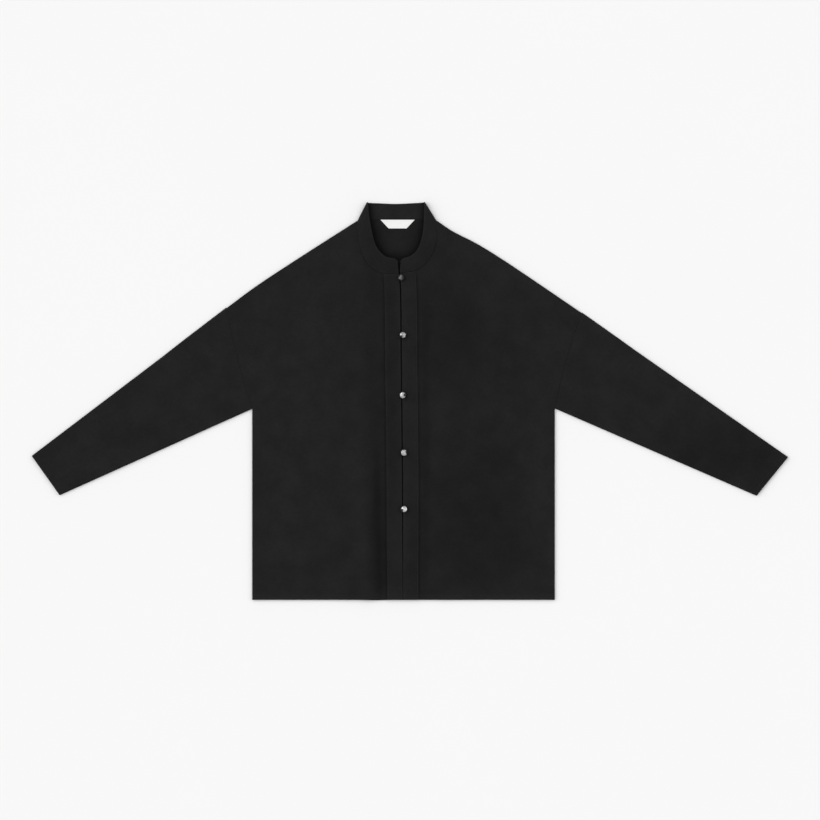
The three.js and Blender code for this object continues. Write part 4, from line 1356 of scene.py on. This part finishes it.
def grow(made, tree, values):
    """Runs a tree on an object and keeps its result as a plain mesh."""
    modifier = made.modifiers.new(tree.name, "NODES")
    modifier.node_group = tree
    named = {item.name: item.identifier for item in tree.interface.items_tree if item.in_out == "INPUT"}
    for label, value in values.items():
        modifier[named[label]] = value
    bpy.context.view_layer.update()
    grown = made.evaluated_get(bpy.context.evaluated_depsgraph_get())
    mesh = bpy.data.meshes.new_from_object(grown)
    made.modifiers.clear()
    old = made.data
    made.data = mesh
    mesh.name = made.name
    bpy.data.meshes.remove(old)
    if not len(mesh.polygons):
        raise RuntimeError(f"{made.name} has no faces")
    return made


def stitched(name, lines, material, slot, **changes):
    """A piece of stitching along lines."""
    settings = bpy.context.scene.laid_top_stitches
    values = {
        "Pitch": settings.pitch,
        "Length": settings.length,
        "Thread": settings.thread,
        "Sideways": 0.0,
        "Seed": settings.seed,
        "Material": material,
        **changes,
    }
    settle(grow(line_object(name, lines), stitch_tree(), values), None, None)


def on_top(plan, part):
    """A stitching line on the upper side, and the way up from it."""
    return upper_face(plan, part) + (0, 0, STITCH_LIFT), UP


def underneath(plan, part):
    """A stitching line on the side that lies on the floor."""
    return lower_face(plan, part) + (0, 0, UNDER_STITCH_LIFT), DOWN


def hem_lines(half, wall, hem):
    """A hem's stitching over one front and its placket."""
    y = HEM_Y + hem
    x, gape = (float(v[0]) for v in opening(np.array([y])))
    # Just inside the opening, and just before and beyond the placket's outer edge
    placket = x + half["side"] * (gape / 2 + np.array([0.8, PLACKET_WIDTH - 0.6, PLACKET_WIDTH + 0.6]))
    start = half["hem"][0] - half["side"] * HEM_STITCH_INSET
    front = mix((start, y), (placket[2], y), np.linspace(0, 1, 110))
    band = mix((placket[0], y), (placket[1], y), np.linspace(0, 1, 20))
    lifted = placket_height(band, wall) + BAND_STITCH_LIFT
    return [on_top(front, "body"), (np.column_stack([band, lifted]), UP)]


def cuff_lines(name, hem):
    """A cuff's stitching on both sides of the sleeve."""
    half = HALVES[name]
    back = np.subtract(half["armhole_top"], half["cuff_top"])
    back = back / np.linalg.norm(back) * hem
    plan = mix(half["cuff_top"], half["cuff_bottom"], np.linspace(0.012, 0.988, 40)) + back
    return [on_top(plan, name), underneath(plan, name)]


def placket_lines(half, wall, edge):
    """A placket's stitching along both its edges."""
    y = np.linspace(HEM_Y + 1.5, PLACKET_STITCH_END, 240)
    x, gape = opening(y)
    lines = []
    for from_opening in (edge, PLACKET_WIDTH - edge):
        plan = np.column_stack([x + half["side"] * (gape / 2 + from_opening), y])
        lines.append((np.column_stack([plan, placket_height(plan, wall) + PLACKET_STITCH_LIFT]), UP))
    return lines


# Materials


def shader_tree(name):
    """A new material, its tree and its Principled shader."""
    made = bpy.data.materials.new(name)
    made.use_nodes = True
    return made, made.node_tree, made.node_tree.nodes["Principled BSDF"]


def noise_node(tree, place, scale, detail, **more):
    """A noise texture of a material."""
    return add_node(tree, "ShaderNodeTexNoise", {"Vector": place, "Scale": scale, "Detail": detail, **more})


def map_range(tree, value, to=(0.0, 1.0), start=(0.0, 1.0), **settings):
    """The output of a node that takes values from one range to another."""
    return add_node(tree, "ShaderNodeMapRange", {
        "Value": value, "From Min": start[0], "From Max": start[1], "To Min": to[0], "To Max": to[1],
    }, **settings).outputs[0]


def blend_colour(tree, share, a, b):
    """The output of a node that mixes two colours."""
    return add_node(tree, "ShaderNodeMix", {0: share, 6: a, 7: b}, data_type="RGBA").outputs[2]


def tinted(colour, factor):
    """A colour made lighter or darker."""
    return (colour[0] * factor, colour[1] * factor, colour[2] * factor, 1.0)


def attribute(tree, name, output="Fac"):
    """What a piece's own attribute says at each point."""
    return add_node(tree, "ShaderNodeAttribute", attribute_name=name).outputs[output]


def object_place(tree):
    """Each point's place on its object."""
    return add_node(tree, "ShaderNodeTexCoord").outputs["Object"]


@once("node_groups", "Plain weave")
def weave_group(name):
    """Plain weave by a grain in metres: a height, and how light each thread is."""
    tree, given, result = new_tree(name, "ShaderNodeTree", {
        "Grain": ("Vector", None),
        "Thread Pitch": ("Float", 0.0005),
        "Unevenness": ("Float", 0.3),
    }, {"Height": "Float", "Thread": "Float"})
    slub = noise_node(tree, given["Grain"], 420.0, 1.0).outputs["Color"]
    shift = vector_maths(tree, "SUBTRACT", {0: slub, 1: (0.5, 0.5, 0.5)})
    per_metre = maths(tree, "DIVIDE", 1.0, given["Thread Pitch"])
    even = vector_maths(tree, "SCALE", {0: given["Grain"], "Scale": per_metre})
    uneven = vector_maths(tree, "SCALE", {0: shift, "Scale": given["Unevenness"]})
    moved = vector_maths(tree, "ADD", {0: even, 1: uneven})
    split = add_node(tree, "ShaderNodeSeparateXYZ", {0: moved}).outputs
    wave_u, wave_v = (maths(tree, "SINE", maths(tree, "MULTIPLY", split[i], math.pi)) for i in (0, 1))
    over = maths(tree, "MULTIPLY", wave_u, wave_v)
    warp = maths(tree, "ADD", maths(tree, "ABSOLUTE", wave_u), over)
    weft = maths(tree, "SUBTRACT", maths(tree, "ABSOLUTE", wave_v), over)
    tones = []
    for across, along in ((0, 1), (1, 0)):
        thread = maths(tree, "MULTIPLY", maths(tree, "FLOOR", split[across]), 3.7)
        at = vector(tree, X=thread, Y=maths(tree, "MULTIPLY", split[along], 0.06), Z=11.0 * across)
        tones.append(noise_node(tree, at, 1.0, 1.0))
    warp_on_top = maths(tree, "GREATER_THAN", warp, weft)
    tone = add_node(tree, "ShaderNodeMix", {0: warp_on_top, 2: tones[1], 3: tones[0]})
    plug(tree, result["Height"], maths(tree, "MULTIPLY", maths(tree, "MAXIMUM", warp, weft), 0.5))
    plug(tree, result["Thread"], map_range(tree, tone, start=(0.25, 0.75)))
    return tree


@once("node_groups", "Soft mottle")
def mottle_group(name):
    """Soft patches of a size in metres, from 0 to 1."""
    tree, given, result = new_tree(name, "ShaderNodeTree", {
        "Vector": ("Vector", None),
        "Patch Size": ("Float", 0.03),
        "Detail": ("Float", 3.0),
        "Contrast": ("Float", 1.0),
    }, {"Value": "Float"})
    scale = maths(tree, "DIVIDE", 1.0, given["Patch Size"])
    patches = noise_node(tree, given["Vector"], scale, given["Detail"], Roughness=0.55)
    ends = [maths(tree, "ADD", maths(tree, "DIVIDE", end, given["Contrast"]), 0.5) for end in (-0.22, 0.22)]
    plug(tree, result["Value"], map_range(tree, patches, start=ends, interpolation_type="SMOOTHSTEP"))
    return tree


@once("node_groups", "Rubbed edge")
def wear_group(name):
    """Takes a colour towards its rubbed one where an edge has worn, in broken spots."""
    tree, given, result = new_tree(name, "ShaderNodeTree", {
        "Color": ("Color", None),
        "Rubbed": ("Color", None),
        "Edge": ("Float", 0.0),
        "Vector": ("Vector", None),
        "Amount": ("Float", 0.5),
    }, {"Color": "Color"})
    broken = map_range(tree, noise_node(tree, given["Vector"], 900.0, 2.0), start=(0.35, 0.65))
    mask = maths(tree, "MULTIPLY", maths(tree, "MULTIPLY", broken, given["Edge"]), given["Amount"])
    plug(tree, result["Color"], blend_colour(tree, mask, given["Color"], given["Rubbed"]))
    return tree


def woven(tree, grain, pitch, unevenness):
    """The weave in a material."""
    inputs = {"Grain": grain, "Thread Pitch": pitch, "Unevenness": unevenness}
    return add_node(tree, "ShaderNodeGroup", inputs, node_tree=weave_group()).outputs


def mottled(tree, place, size, detail, contrast=1.0):
    """Soft patches in a material."""
    inputs = {"Vector": place, "Patch Size": size, "Detail": detail, "Contrast": contrast}
    return add_node(tree, "ShaderNodeGroup", inputs, node_tree=mottle_group()).outputs[0]


def worn_colour(tree, place, colour, rubbed, amount):
    """A cloth's colour with its rubbed edges."""
    inputs = {
        "Color": colour, "Rubbed": rubbed, "Edge": attribute(tree, "wear"), "Vector": place, "Amount": amount,
    }
    return add_node(tree, "ShaderNodeGroup", inputs, node_tree=wear_group()).outputs[0]


def finish_shader(tree, shader, colour, roughness, bump=None, **values):
    """Feeds a Principled shader. bump is a height, its strength and its distance in metres."""
    plug(tree, shader.inputs["Base Color"], colour)
    plug(tree, shader.inputs["Roughness"], roughness)
    if bump:
        inputs = dict(zip(("Height", "Strength", "Distance"), bump))
        plug(tree, shader.inputs["Normal"], add_node(tree, "ShaderNodeBump", inputs))
    for key, value in values.items():
        shader.inputs[key.replace("_", " ")].default_value = value


def fibre_material(name, colour, patches, tones, roughness, bump=(), **values):
    """A material of one colour, mottled in small patches. bump is their strength and height."""
    made, tree, shader = shader_tree(name)
    fibre = mottled(tree, object_place(tree), *patches)
    blend = blend_colour(tree, fibre, *(tinted(colour, tone) for tone in tones))
    rough = map_range(tree, fibre, roughness)
    finish_shader(tree, shader, blend, rough, bump and (fibre, *bump), **values)
    return made


@once("materials", "Black cotton")
def cloth_material(name):
    """Matt black plain weave with darker and lighter places, fuzz and rubbed edges. Some darker places are
    painted shade.
    """
    settings = bpy.context.scene.laid_top_cloth
    made, tree, shader = shader_tree(name)
    place = object_place(tree)
    base = settings.colour
    weave = woven(tree, attribute(tree, "grain", "Vector"), settings.thread_pitch, 0.35)
    tone = blend_colour(tree, weave["Thread"], tinted(base, 0.84), tinted(base, 1.16))
    light = map_range(tree, mottled(tree, place, 0.045, 4.0), (0.86, 1.12))
    speck = map_range(tree, mottled(tree, place, 0.006, 3.0, 0.8), (0.92, 1.08))
    # The nap attribute darkens the cloth: partly its nap, partly painted shade in troughs, beside the
    # plackets, round the buttons, along the armholes and inside the neck
    dark = map_range(tree, attribute(tree, "nap_and_shade"), (1.26, 0.35), (-1.0, 2.5))
    factor = maths(tree, "MULTIPLY", maths(tree, "MULTIPLY", light, speck), dark)
    shaded = vector_maths(tree, "SCALE", {0: tone, "Scale": factor})
    colour = worn_colour(tree, place, shaded, tinted(base, 2.4), 0.5)
    rough = map_range(tree, weave["Height"], (0.98, 0.86))
    fuzz = maths(tree, "MULTIPLY", noise_node(tree, place, 2600.0, 2.0), 0.35)
    height = maths(tree, "ADD", weave["Height"], fuzz)
    finish_shader(
        tree, shader, colour, rough, (height, 0.75, 0.00012),
        Specular_IOR_Level=0.12, Sheen_Weight=0.06, Sheen_Roughness=0.45,
    )
    return made


@once("materials", "Black thread")
def thread_material(name):
    """Black sewing thread."""
    colour = bpy.context.scene.laid_top_stitches.colour
    bump = (0.5, 0.00006)
    shine = {"Specular_IOR_Level": 0.3, "Sheen_Weight": 0.05}
    return fibre_material(name, colour, (0.0006, 3.0), (0.7, 1.3), (0.5, 0.7), bump, **shine)


@once("materials", "Black laid cord")
def cord_material(name):
    """The cord of the loops."""
    colour = bpy.context.scene.laid_top_loops.colour
    bump = (0.6, 0.00008)
    shine = {"Specular_IOR_Level": 0.2, "Sheen_Weight": 0.08}
    return fibre_material(name, colour, (0.0004, 4.0), (0.65, 1.4), (0.6, 0.85), bump, **shine)


@once("materials", "White thread")
def white_thread_material(name):
    """The label's sewing thread."""
    colour = bpy.context.scene.laid_top_label.colour
    return fibre_material(name, colour, (0.0006, 3.0), (0.85, 1.02), (0.4, 0.6))


@once("materials", "Pale studio floor")
def floor_material(name):
    """The plain floor."""
    colour = bpy.context.scene.laid_top_stage.floor_colour
    return fibre_material(name, colour, (0.7, 2.0), (0.995, 1.0), (0.85, 0.9), Specular_IOR_Level=0.1)


@once("materials", "Hammered grey metal")
def metal_material(name):
    """Polished metal, darkened in its dents, with painted dark reflection in its big hollows, painted shade
    and dark reflection round its rim and under the head, and each head darkened partly by tarnish and partly
    as painted shade.
    """
    made, tree, shader = shader_tree(name)
    place = object_place(tree)
    base = bpy.context.scene.laid_top_buttons.colour
    blotches = mottled(tree, place, 0.0022, 3.0)
    polish = mottled(tree, place, 0.0003, 2.0)
    blotched = maths(tree, "ADD", maths(tree, "MULTIPLY", blotches, 0.5), 0.7)
    # The darkness in the dents is patina; in the big hollows, round the rim and under the head it is painted
    # dark reflection and shade
    depth = maths(tree, "MULTIPLY", attribute(tree, "dent_and_reflection_dark"), blotched)
    mask = map_range(tree, depth, start=(0.2, 1.2), interpolation_type="SMOOTHSTEP")
    clean = blend_colour(tree, polish, tinted(base, 0.92), tinted(base, 1.05))
    # Darkens each head partly for tarnish and partly as painted shade
    tarnished_and_shaded = blend_colour(tree, attribute(tree, "tarnish_and_shade"), clean, tinted(base, 0.12))
    colour = blend_colour(tree, mask, tarnished_and_shaded, tinted(base, 0.08))
    rough = maths(tree, "ADD", map_range(tree, mask, (0.3, 0.6)), maths(tree, "MULTIPLY", polish, 0.08))
    finish_shader(tree, shader, colour, rough, (polish, 0.2, 0.00003), Metallic=1.0)
    return made


@once("materials", "White woven satin")
def label_material(name):
    """Smooth white satin, woven closer one way than the other."""
    made, tree, shader = shader_tree(name)
    place = object_place(tree)
    base = bpy.context.scene.laid_top_label.colour
    grain = {"Vector": attribute(tree, "grain", "Vector"), "Scale": (0.4, 1.0, 1.0)}
    weave = woven(tree, add_node(tree, "ShaderNodeMapping", grain), 0.00022, 0.15)
    tone = blend_colour(tree, weave["Thread"], tinted(base, 0.96), tinted(base, 1.0))
    shade = blend_colour(tree, mottled(tree, place, 0.008, 3.0), tinted(base, 0.95), tone)
    colour = worn_colour(tree, place, shade, tinted(base, 0.82), 0.4)
    rough = map_range(tree, weave["Height"], (0.62, 0.42))
    bump = (weave["Height"], 0.5, 0.00006)
    finish_shader(tree, shader, colour, rough, bump, Specular_IOR_Level=0.4, Sheen_Weight=0.1)
    return made


# Sizes and colours that a user would change


class ClothSettings(bpy.types.PropertyGroup):
    wall: FloatProperty(
        name="Wall", description="Thickness of the cloth",
        default=0.0012, min=0.0008, max=0.002, precision=5, unit="LENGTH",
    )
    collar_wall: FloatProperty(
        name="Collar wall", description="Thickness of the stand collar",
        default=0.0018, min=0.001, max=0.003, precision=5, unit="LENGTH",
    )
    hem_depth: FloatProperty(
        name="Hem depth", description="Distance from hem and cuff edges to their stitching",
        default=0.0095, precision=5, unit="LENGTH",
    )
    edge_stitch: FloatProperty(
        name="Edge stitching", description="Distance from placket and collar edges to their stitching",
        default=0.002, precision=5, unit="LENGTH",
    )
    thread_pitch: FloatProperty(
        name="Weave pitch", description="Distance between threads of the weave",
        default=0.00048, precision=5, unit="LENGTH",
    )
    colour: FloatVectorProperty(
        name="Cloth colour", description="Colour of the black cotton",
        default=(0.0119, 0.0119, 0.0121), min=0, max=1, subtype="COLOR",
    )


class StitchSettings(bpy.types.PropertyGroup):
    pitch: FloatProperty(
        name="Pitch", description="Distance between stitches", default=0.0029, precision=5, unit="LENGTH",
    )
    length: FloatProperty(
        name="Length", description="Length of one stitch", default=0.0024, precision=5, unit="LENGTH",
    )
    thread: FloatProperty(
        name="Thread", description="Thickness of the thread", default=0.00034, precision=5, unit="LENGTH",
    )
    seed: IntProperty(name="Seed", description="Seed of the stitches' slight swing", default=7, min=0)
    colour: FloatVectorProperty(
        name="Thread colour", description="Colour of the black thread",
        default=(0.012, 0.012, 0.0125), min=0, max=1, subtype="COLOR",
    )


class ButtonSettings(bpy.types.PropertyGroup):
    segments: IntProperty(name="Segments", description="Divisions round a button", default=56, min=24, max=96)
    dents: IntProperty(name="Dents", description="Most hammer marks on a button", default=22, min=6, max=40)
    dent_depth: FloatProperty(
        name="Dent depth", description="Depth of a hammer mark", default=0.00038, precision=5, unit="LENGTH",
    )
    seed: IntProperty(name="Seed", description="Seed of the hammer marks' places", default=31, min=0)
    colour: FloatVectorProperty(
        name="Metal colour", description="Colour of the polished metal",
        default=(0.62, 0.62, 0.62), min=0, max=1, subtype="COLOR",
    )


class LoopSettings(bpy.types.PropertyGroup):
    strands: IntProperty(name="Strands", description="Strands laid up in the cord", default=3, min=2, max=4)
    lay: FloatProperty(
        name="Lay", description="Length of one turn of a strand", default=0.0034, precision=5, unit="LENGTH",
    )
    colour: FloatVectorProperty(
        name="Cord colour", description="Colour of the loop cord",
        default=(0.014, 0.014, 0.0145), min=0, max=1, subtype="COLOR",
    )


class LabelSettings(bpy.types.PropertyGroup):
    colour: FloatVectorProperty(
        name="Label colour", description="Colour of the woven label",
        default=(0.93, 0.93, 0.92), min=0, max=1, subtype="COLOR",
    )


class StageSettings(bpy.types.PropertyGroup):
    floor_size: FloatProperty(
        name="Floor size", description="Length of the floor's sides", default=24.0, unit="LENGTH",
    )
    floor_colour: FloatVectorProperty(
        name="Floor colour", description="Colour of the plain floor",
        default=(0.93, 0.93, 0.93), min=0, max=1, subtype="COLOR",
    )
    view_width: FloatProperty(
        name="View width", description="Width of what the camera sees at the cloth",
        default=1.599, precision=5, unit="LENGTH",
    )
    lens: FloatProperty(
        name="Lens", description="Focal length in millimetres", default=100.0, min=35, max=200,
    )
    sun: FloatProperty(name="Key light", description="Strength of the soft key light", default=1.4, min=0)
    second_sun: FloatProperty(
        name="Second light", description="Strength of the light opposite the key", default=0.55, min=0,
    )
    softness: FloatProperty(
        name="Softness", description="Angle that each light covers",
        default=math.radians(55), min=math.radians(1), max=math.radians(120), subtype="ANGLE",
    )
    fill: FloatProperty(
        name="Fill light", description="Strength of the light from all round", default=0.62, min=0,
    )


SETTINGS = {
    "laid_top_cloth": ClothSettings,
    "laid_top_stitches": StitchSettings,
    "laid_top_buttons": ButtonSettings,
    "laid_top_loops": LoopSettings,
    "laid_top_label": LabelSettings,
    "laid_top_stage": StageSettings,
}


# Operators


class SetStage(bpy.types.Operator):
    """Plain pale floor, soft studio light and a camera straight above"""

    bl_idname = "laid_top.stage"
    bl_label = "Stage"

    def execute(self, context):
        settings = context.scene.laid_top_stage
        reach = settings.floor_size / 2
        mesh = bpy.data.meshes.new("studio_floor")
        corners = [(x * reach, y * reach, FLOOR_Z) for x, y in ((-1, -1), (1, -1), (1, 1), (-1, 1))]
        mesh.from_pydata(corners, [], [(0, 1, 2, 3)])
        mesh.materials.append(floor_material())
        add_object("studio_floor", mesh)
        world = bpy.data.worlds.new("Soft room")
        world.use_nodes = True
        background = world.node_tree.nodes["Background"].inputs
        background["Color"].default_value = (1.0, 1.0, 1.0, 1.0)
        background["Strength"].default_value = settings.fill
        context.scene.world = world
        for name, strength, way in (
            ("Key light", settings.sun, (0.80, -0.30, -0.70)),
            ("Second light", settings.second_sun, (-0.84, -0.24, -0.72)),
        ):
            light = bpy.data.lights.new(name, "SUN")
            light.energy = strength
            light.angle = settings.softness
            lamp = add_object(name, light)
            lamp.rotation_euler = Vector(way).to_track_quat("-Z", "Y").to_euler()
        lens = bpy.data.cameras.new("Camera above")
        lens.lens = settings.lens
        lens.sensor_width = SENSOR_WIDTH
        lens.clip_start = 0.1
        lens.clip_end = 60.0
        camera = add_object("Camera above", lens)
        camera.location = VIEW_MIDDLE
        camera.location.z += settings.view_width * settings.lens / SENSOR_WIDTH
        context.scene.camera = camera
        context.scene.view_settings.view_transform = "Standard"
        return {"FINISHED"}


class MakeBody(bpy.types.Operator):
    """The back and the two fronts"""

    bl_idname = "laid_top.body"
    bl_label = "Body"

    def execute(self, context):
        wall = context.scene.laid_top_cloth.wall / MM
        settle(back_panel(wall), "back", cloth_material())
        for name in HALVES:
            settle(front_panel(name, wall), f"front_{name}", cloth_material())
        return {"FINISHED"}


class MakeSleeves(bpy.types.Operator):
    """The two sleeves"""

    bl_idname = "laid_top.sleeves"
    bl_label = "Sleeves"

    def execute(self, context):
        wall = context.scene.laid_top_cloth.wall / MM
        for name in HALVES:
            settle(sleeve_tube(name, wall), f"sleeve_{name}", cloth_material())
        return {"FINISHED"}


class MakePlackets(bpy.types.Operator):
    """The two plackets beside the opening"""

    bl_idname = "laid_top.plackets"
    bl_label = "Plackets"

    def execute(self, context):
        wall = context.scene.laid_top_cloth.wall / MM
        for name in HALVES:
            settle(placket_band(name, wall), f"placket_{name}", cloth_material())
        return {"FINISHED"}


class MakeCollar(bpy.types.Operator):
    """The stand collar"""

    bl_idname = "laid_top.collar"
    bl_label = "Collar"

    def execute(self, context):
        wall = context.scene.laid_top_cloth.collar_wall / MM
        settle(collar_band(wall), "collar", cloth_material())
        return {"FINISHED"}


class MakeLabel(bpy.types.Operator):
    """The bare woven label inside the back of the neck, with its stitching"""

    bl_idname = "laid_top.label"
    bl_label = "Neck label"

    def execute(self, context):
        settle(label_strip(), "neck_label", label_material())
        middle, top = LABEL["middle"], LABEL["top"]
        reach = LABEL["top_width"] / 2 - LABEL_STITCH_INSET
        y, z = top - LABEL_STITCH_DROP, LABEL_LIFT + LABEL_STITCH_LIFT
        line = mix((middle - reach, y, z), (middle + reach, y, z), np.linspace(0, 1, 24))
        thread = {"Thread": 0.00024, "Pitch": 0.0022, "Length": 0.0017}
        stitched("stitches_label", [(line, UP)], white_thread_material(), "label", **thread)
        return {"FINISHED"}


class MakeButtons(bpy.types.Operator):
    """The five hammered metal buttons"""

    bl_idname = "laid_top.buttons"
    bl_label = "Buttons"

    def execute(self, context):
        wall = context.scene.laid_top_cloth.wall / MM
        for index, row in enumerate(BUTTONS):
            settle(hammered_button(index, row, wall), f"button_{index + 1}", None)
        return {"FINISHED"}


class MakeLoops(bpy.types.Operator):
    """The five cord loops, each round a button's stem"""

    bl_idname = "laid_top.loops"
    bl_label = "Loops"

    def execute(self, context):
        settings = context.scene.laid_top_loops
        wall = context.scene.laid_top_cloth.wall / MM
        values = {
            "Thickness": LOOP_CORD * MM,
            "Strands": settings.strands,
            "Lay": settings.lay,
            "Material": cord_material(),
        }
        tacks = []
        for index, row in enumerate(BUTTONS):
            route = loop_route(row, wall)
            made = grow(line_object(f"loop_cord_{index + 1}", [(route, UP)]), cord_tree(), values)
            settle(made, f"loop_{index + 1}", None)
            for end in (route[8:15], route[-9:-16:-1]):
                tacks.append((end + (0, 0, TACK_LIFT), UP))
        across = {"Pitch": 0.00042, "Length": 0.0021, "Sideways": math.pi / 2}
        stitched("stitches_loop_tacks", tacks, thread_material(), "cloth", **across)
        return {"FINISHED"}


class MakeStitching(bpy.types.Operator):
    """Stitching of hems, cuffs, armholes, plackets and collar"""

    bl_idname = "laid_top.stitching"
    bl_label = "Stitching"

    def execute(self, context):
        cloth = context.scene.laid_top_cloth
        wall, hem, edge = cloth.wall / MM, cloth.hem_depth / MM, cloth.edge_stitch / MM
        sewn = {"hems": [], "cuffs": [], "armholes": [], "plackets": []}
        for name, half in HALVES.items():
            sewn["hems"] += hem_lines(half, wall, hem)
            sewn["cuffs"] += cuff_lines(name, hem)
            armhole = armhole_line(half, np.linspace(0.02, 0.985, 80))
            sewn["armholes"].append(on_top(armhole - (half["side"] * edge, 0), "body"))
            sewn["plackets"] += placket_lines(half, wall, edge)
        ends = [(half["hem"][0] - half["side"] * HEM_STITCH_INSET, HEM_Y + hem) for half in HALVES.values()]
        sewn["hems"].append(underneath(mix(*ends, np.linspace(0, 1, 160)), "body"))
        sewn["collar"] = [collar_stitch_line(edge, which) for which in ("sewn", "free")]
        for name, lines in sewn.items():
            stitched(f"stitches_{name}", lines, thread_material(), "cloth")
        return {"FINISHED"}


class DeclareCloth(bpy.types.Operator):
    """An empty step: it states nothing about the cloth's flat cuts"""

    bl_idname = "laid_top.declare"
    bl_label = "Flat cuts"

    def execute(self, context):
        return {"FINISHED"}


STEPS = [
    SetStage,
    MakeBody,
    MakeSleeves,
    MakePlackets,
    MakeCollar,
    MakeLabel,
    MakeButtons,
    MakeLoops,
    MakeStitching,
    DeclareCloth,
]


class TopPanel(bpy.types.Panel):
    """Lists the steps that make the top, and its sizes and colours"""

    bl_idname = "VIEW3D_PT_laid_top"
    bl_label = "Stand-collar top"
    bl_space_type = "VIEW_3D"
    bl_region_type = "UI"
    bl_category = "Top"

    def draw(self, context):
        for step in STEPS:
            self.layout.operator(step.bl_idname)
        for name, kind in SETTINGS.items():
            box = self.layout.box()
            for key in kind.__annotations__:
                box.prop(getattr(context.scene, name), key)


def register():
    for name, kind in SETTINGS.items():
        bpy.utils.register_class(kind)
        setattr(bpy.types.Scene, name, PointerProperty(type=kind))
    for step in (*STEPS, TopPanel):
        bpy.utils.register_class(step)


def unregister():
    for step in reversed((*STEPS, TopPanel)):
        bpy.utils.unregister_class(step)
    for name, kind in reversed(SETTINGS.items()):
        delattr(bpy.types.Scene, name)
        bpy.utils.unregister_class(kind)


def main():
    register()
    for step in STEPS:
        getattr(bpy.ops.laid_top, step.bl_idname.split(".")[1])()


if __name__ == "__main__":
    main()
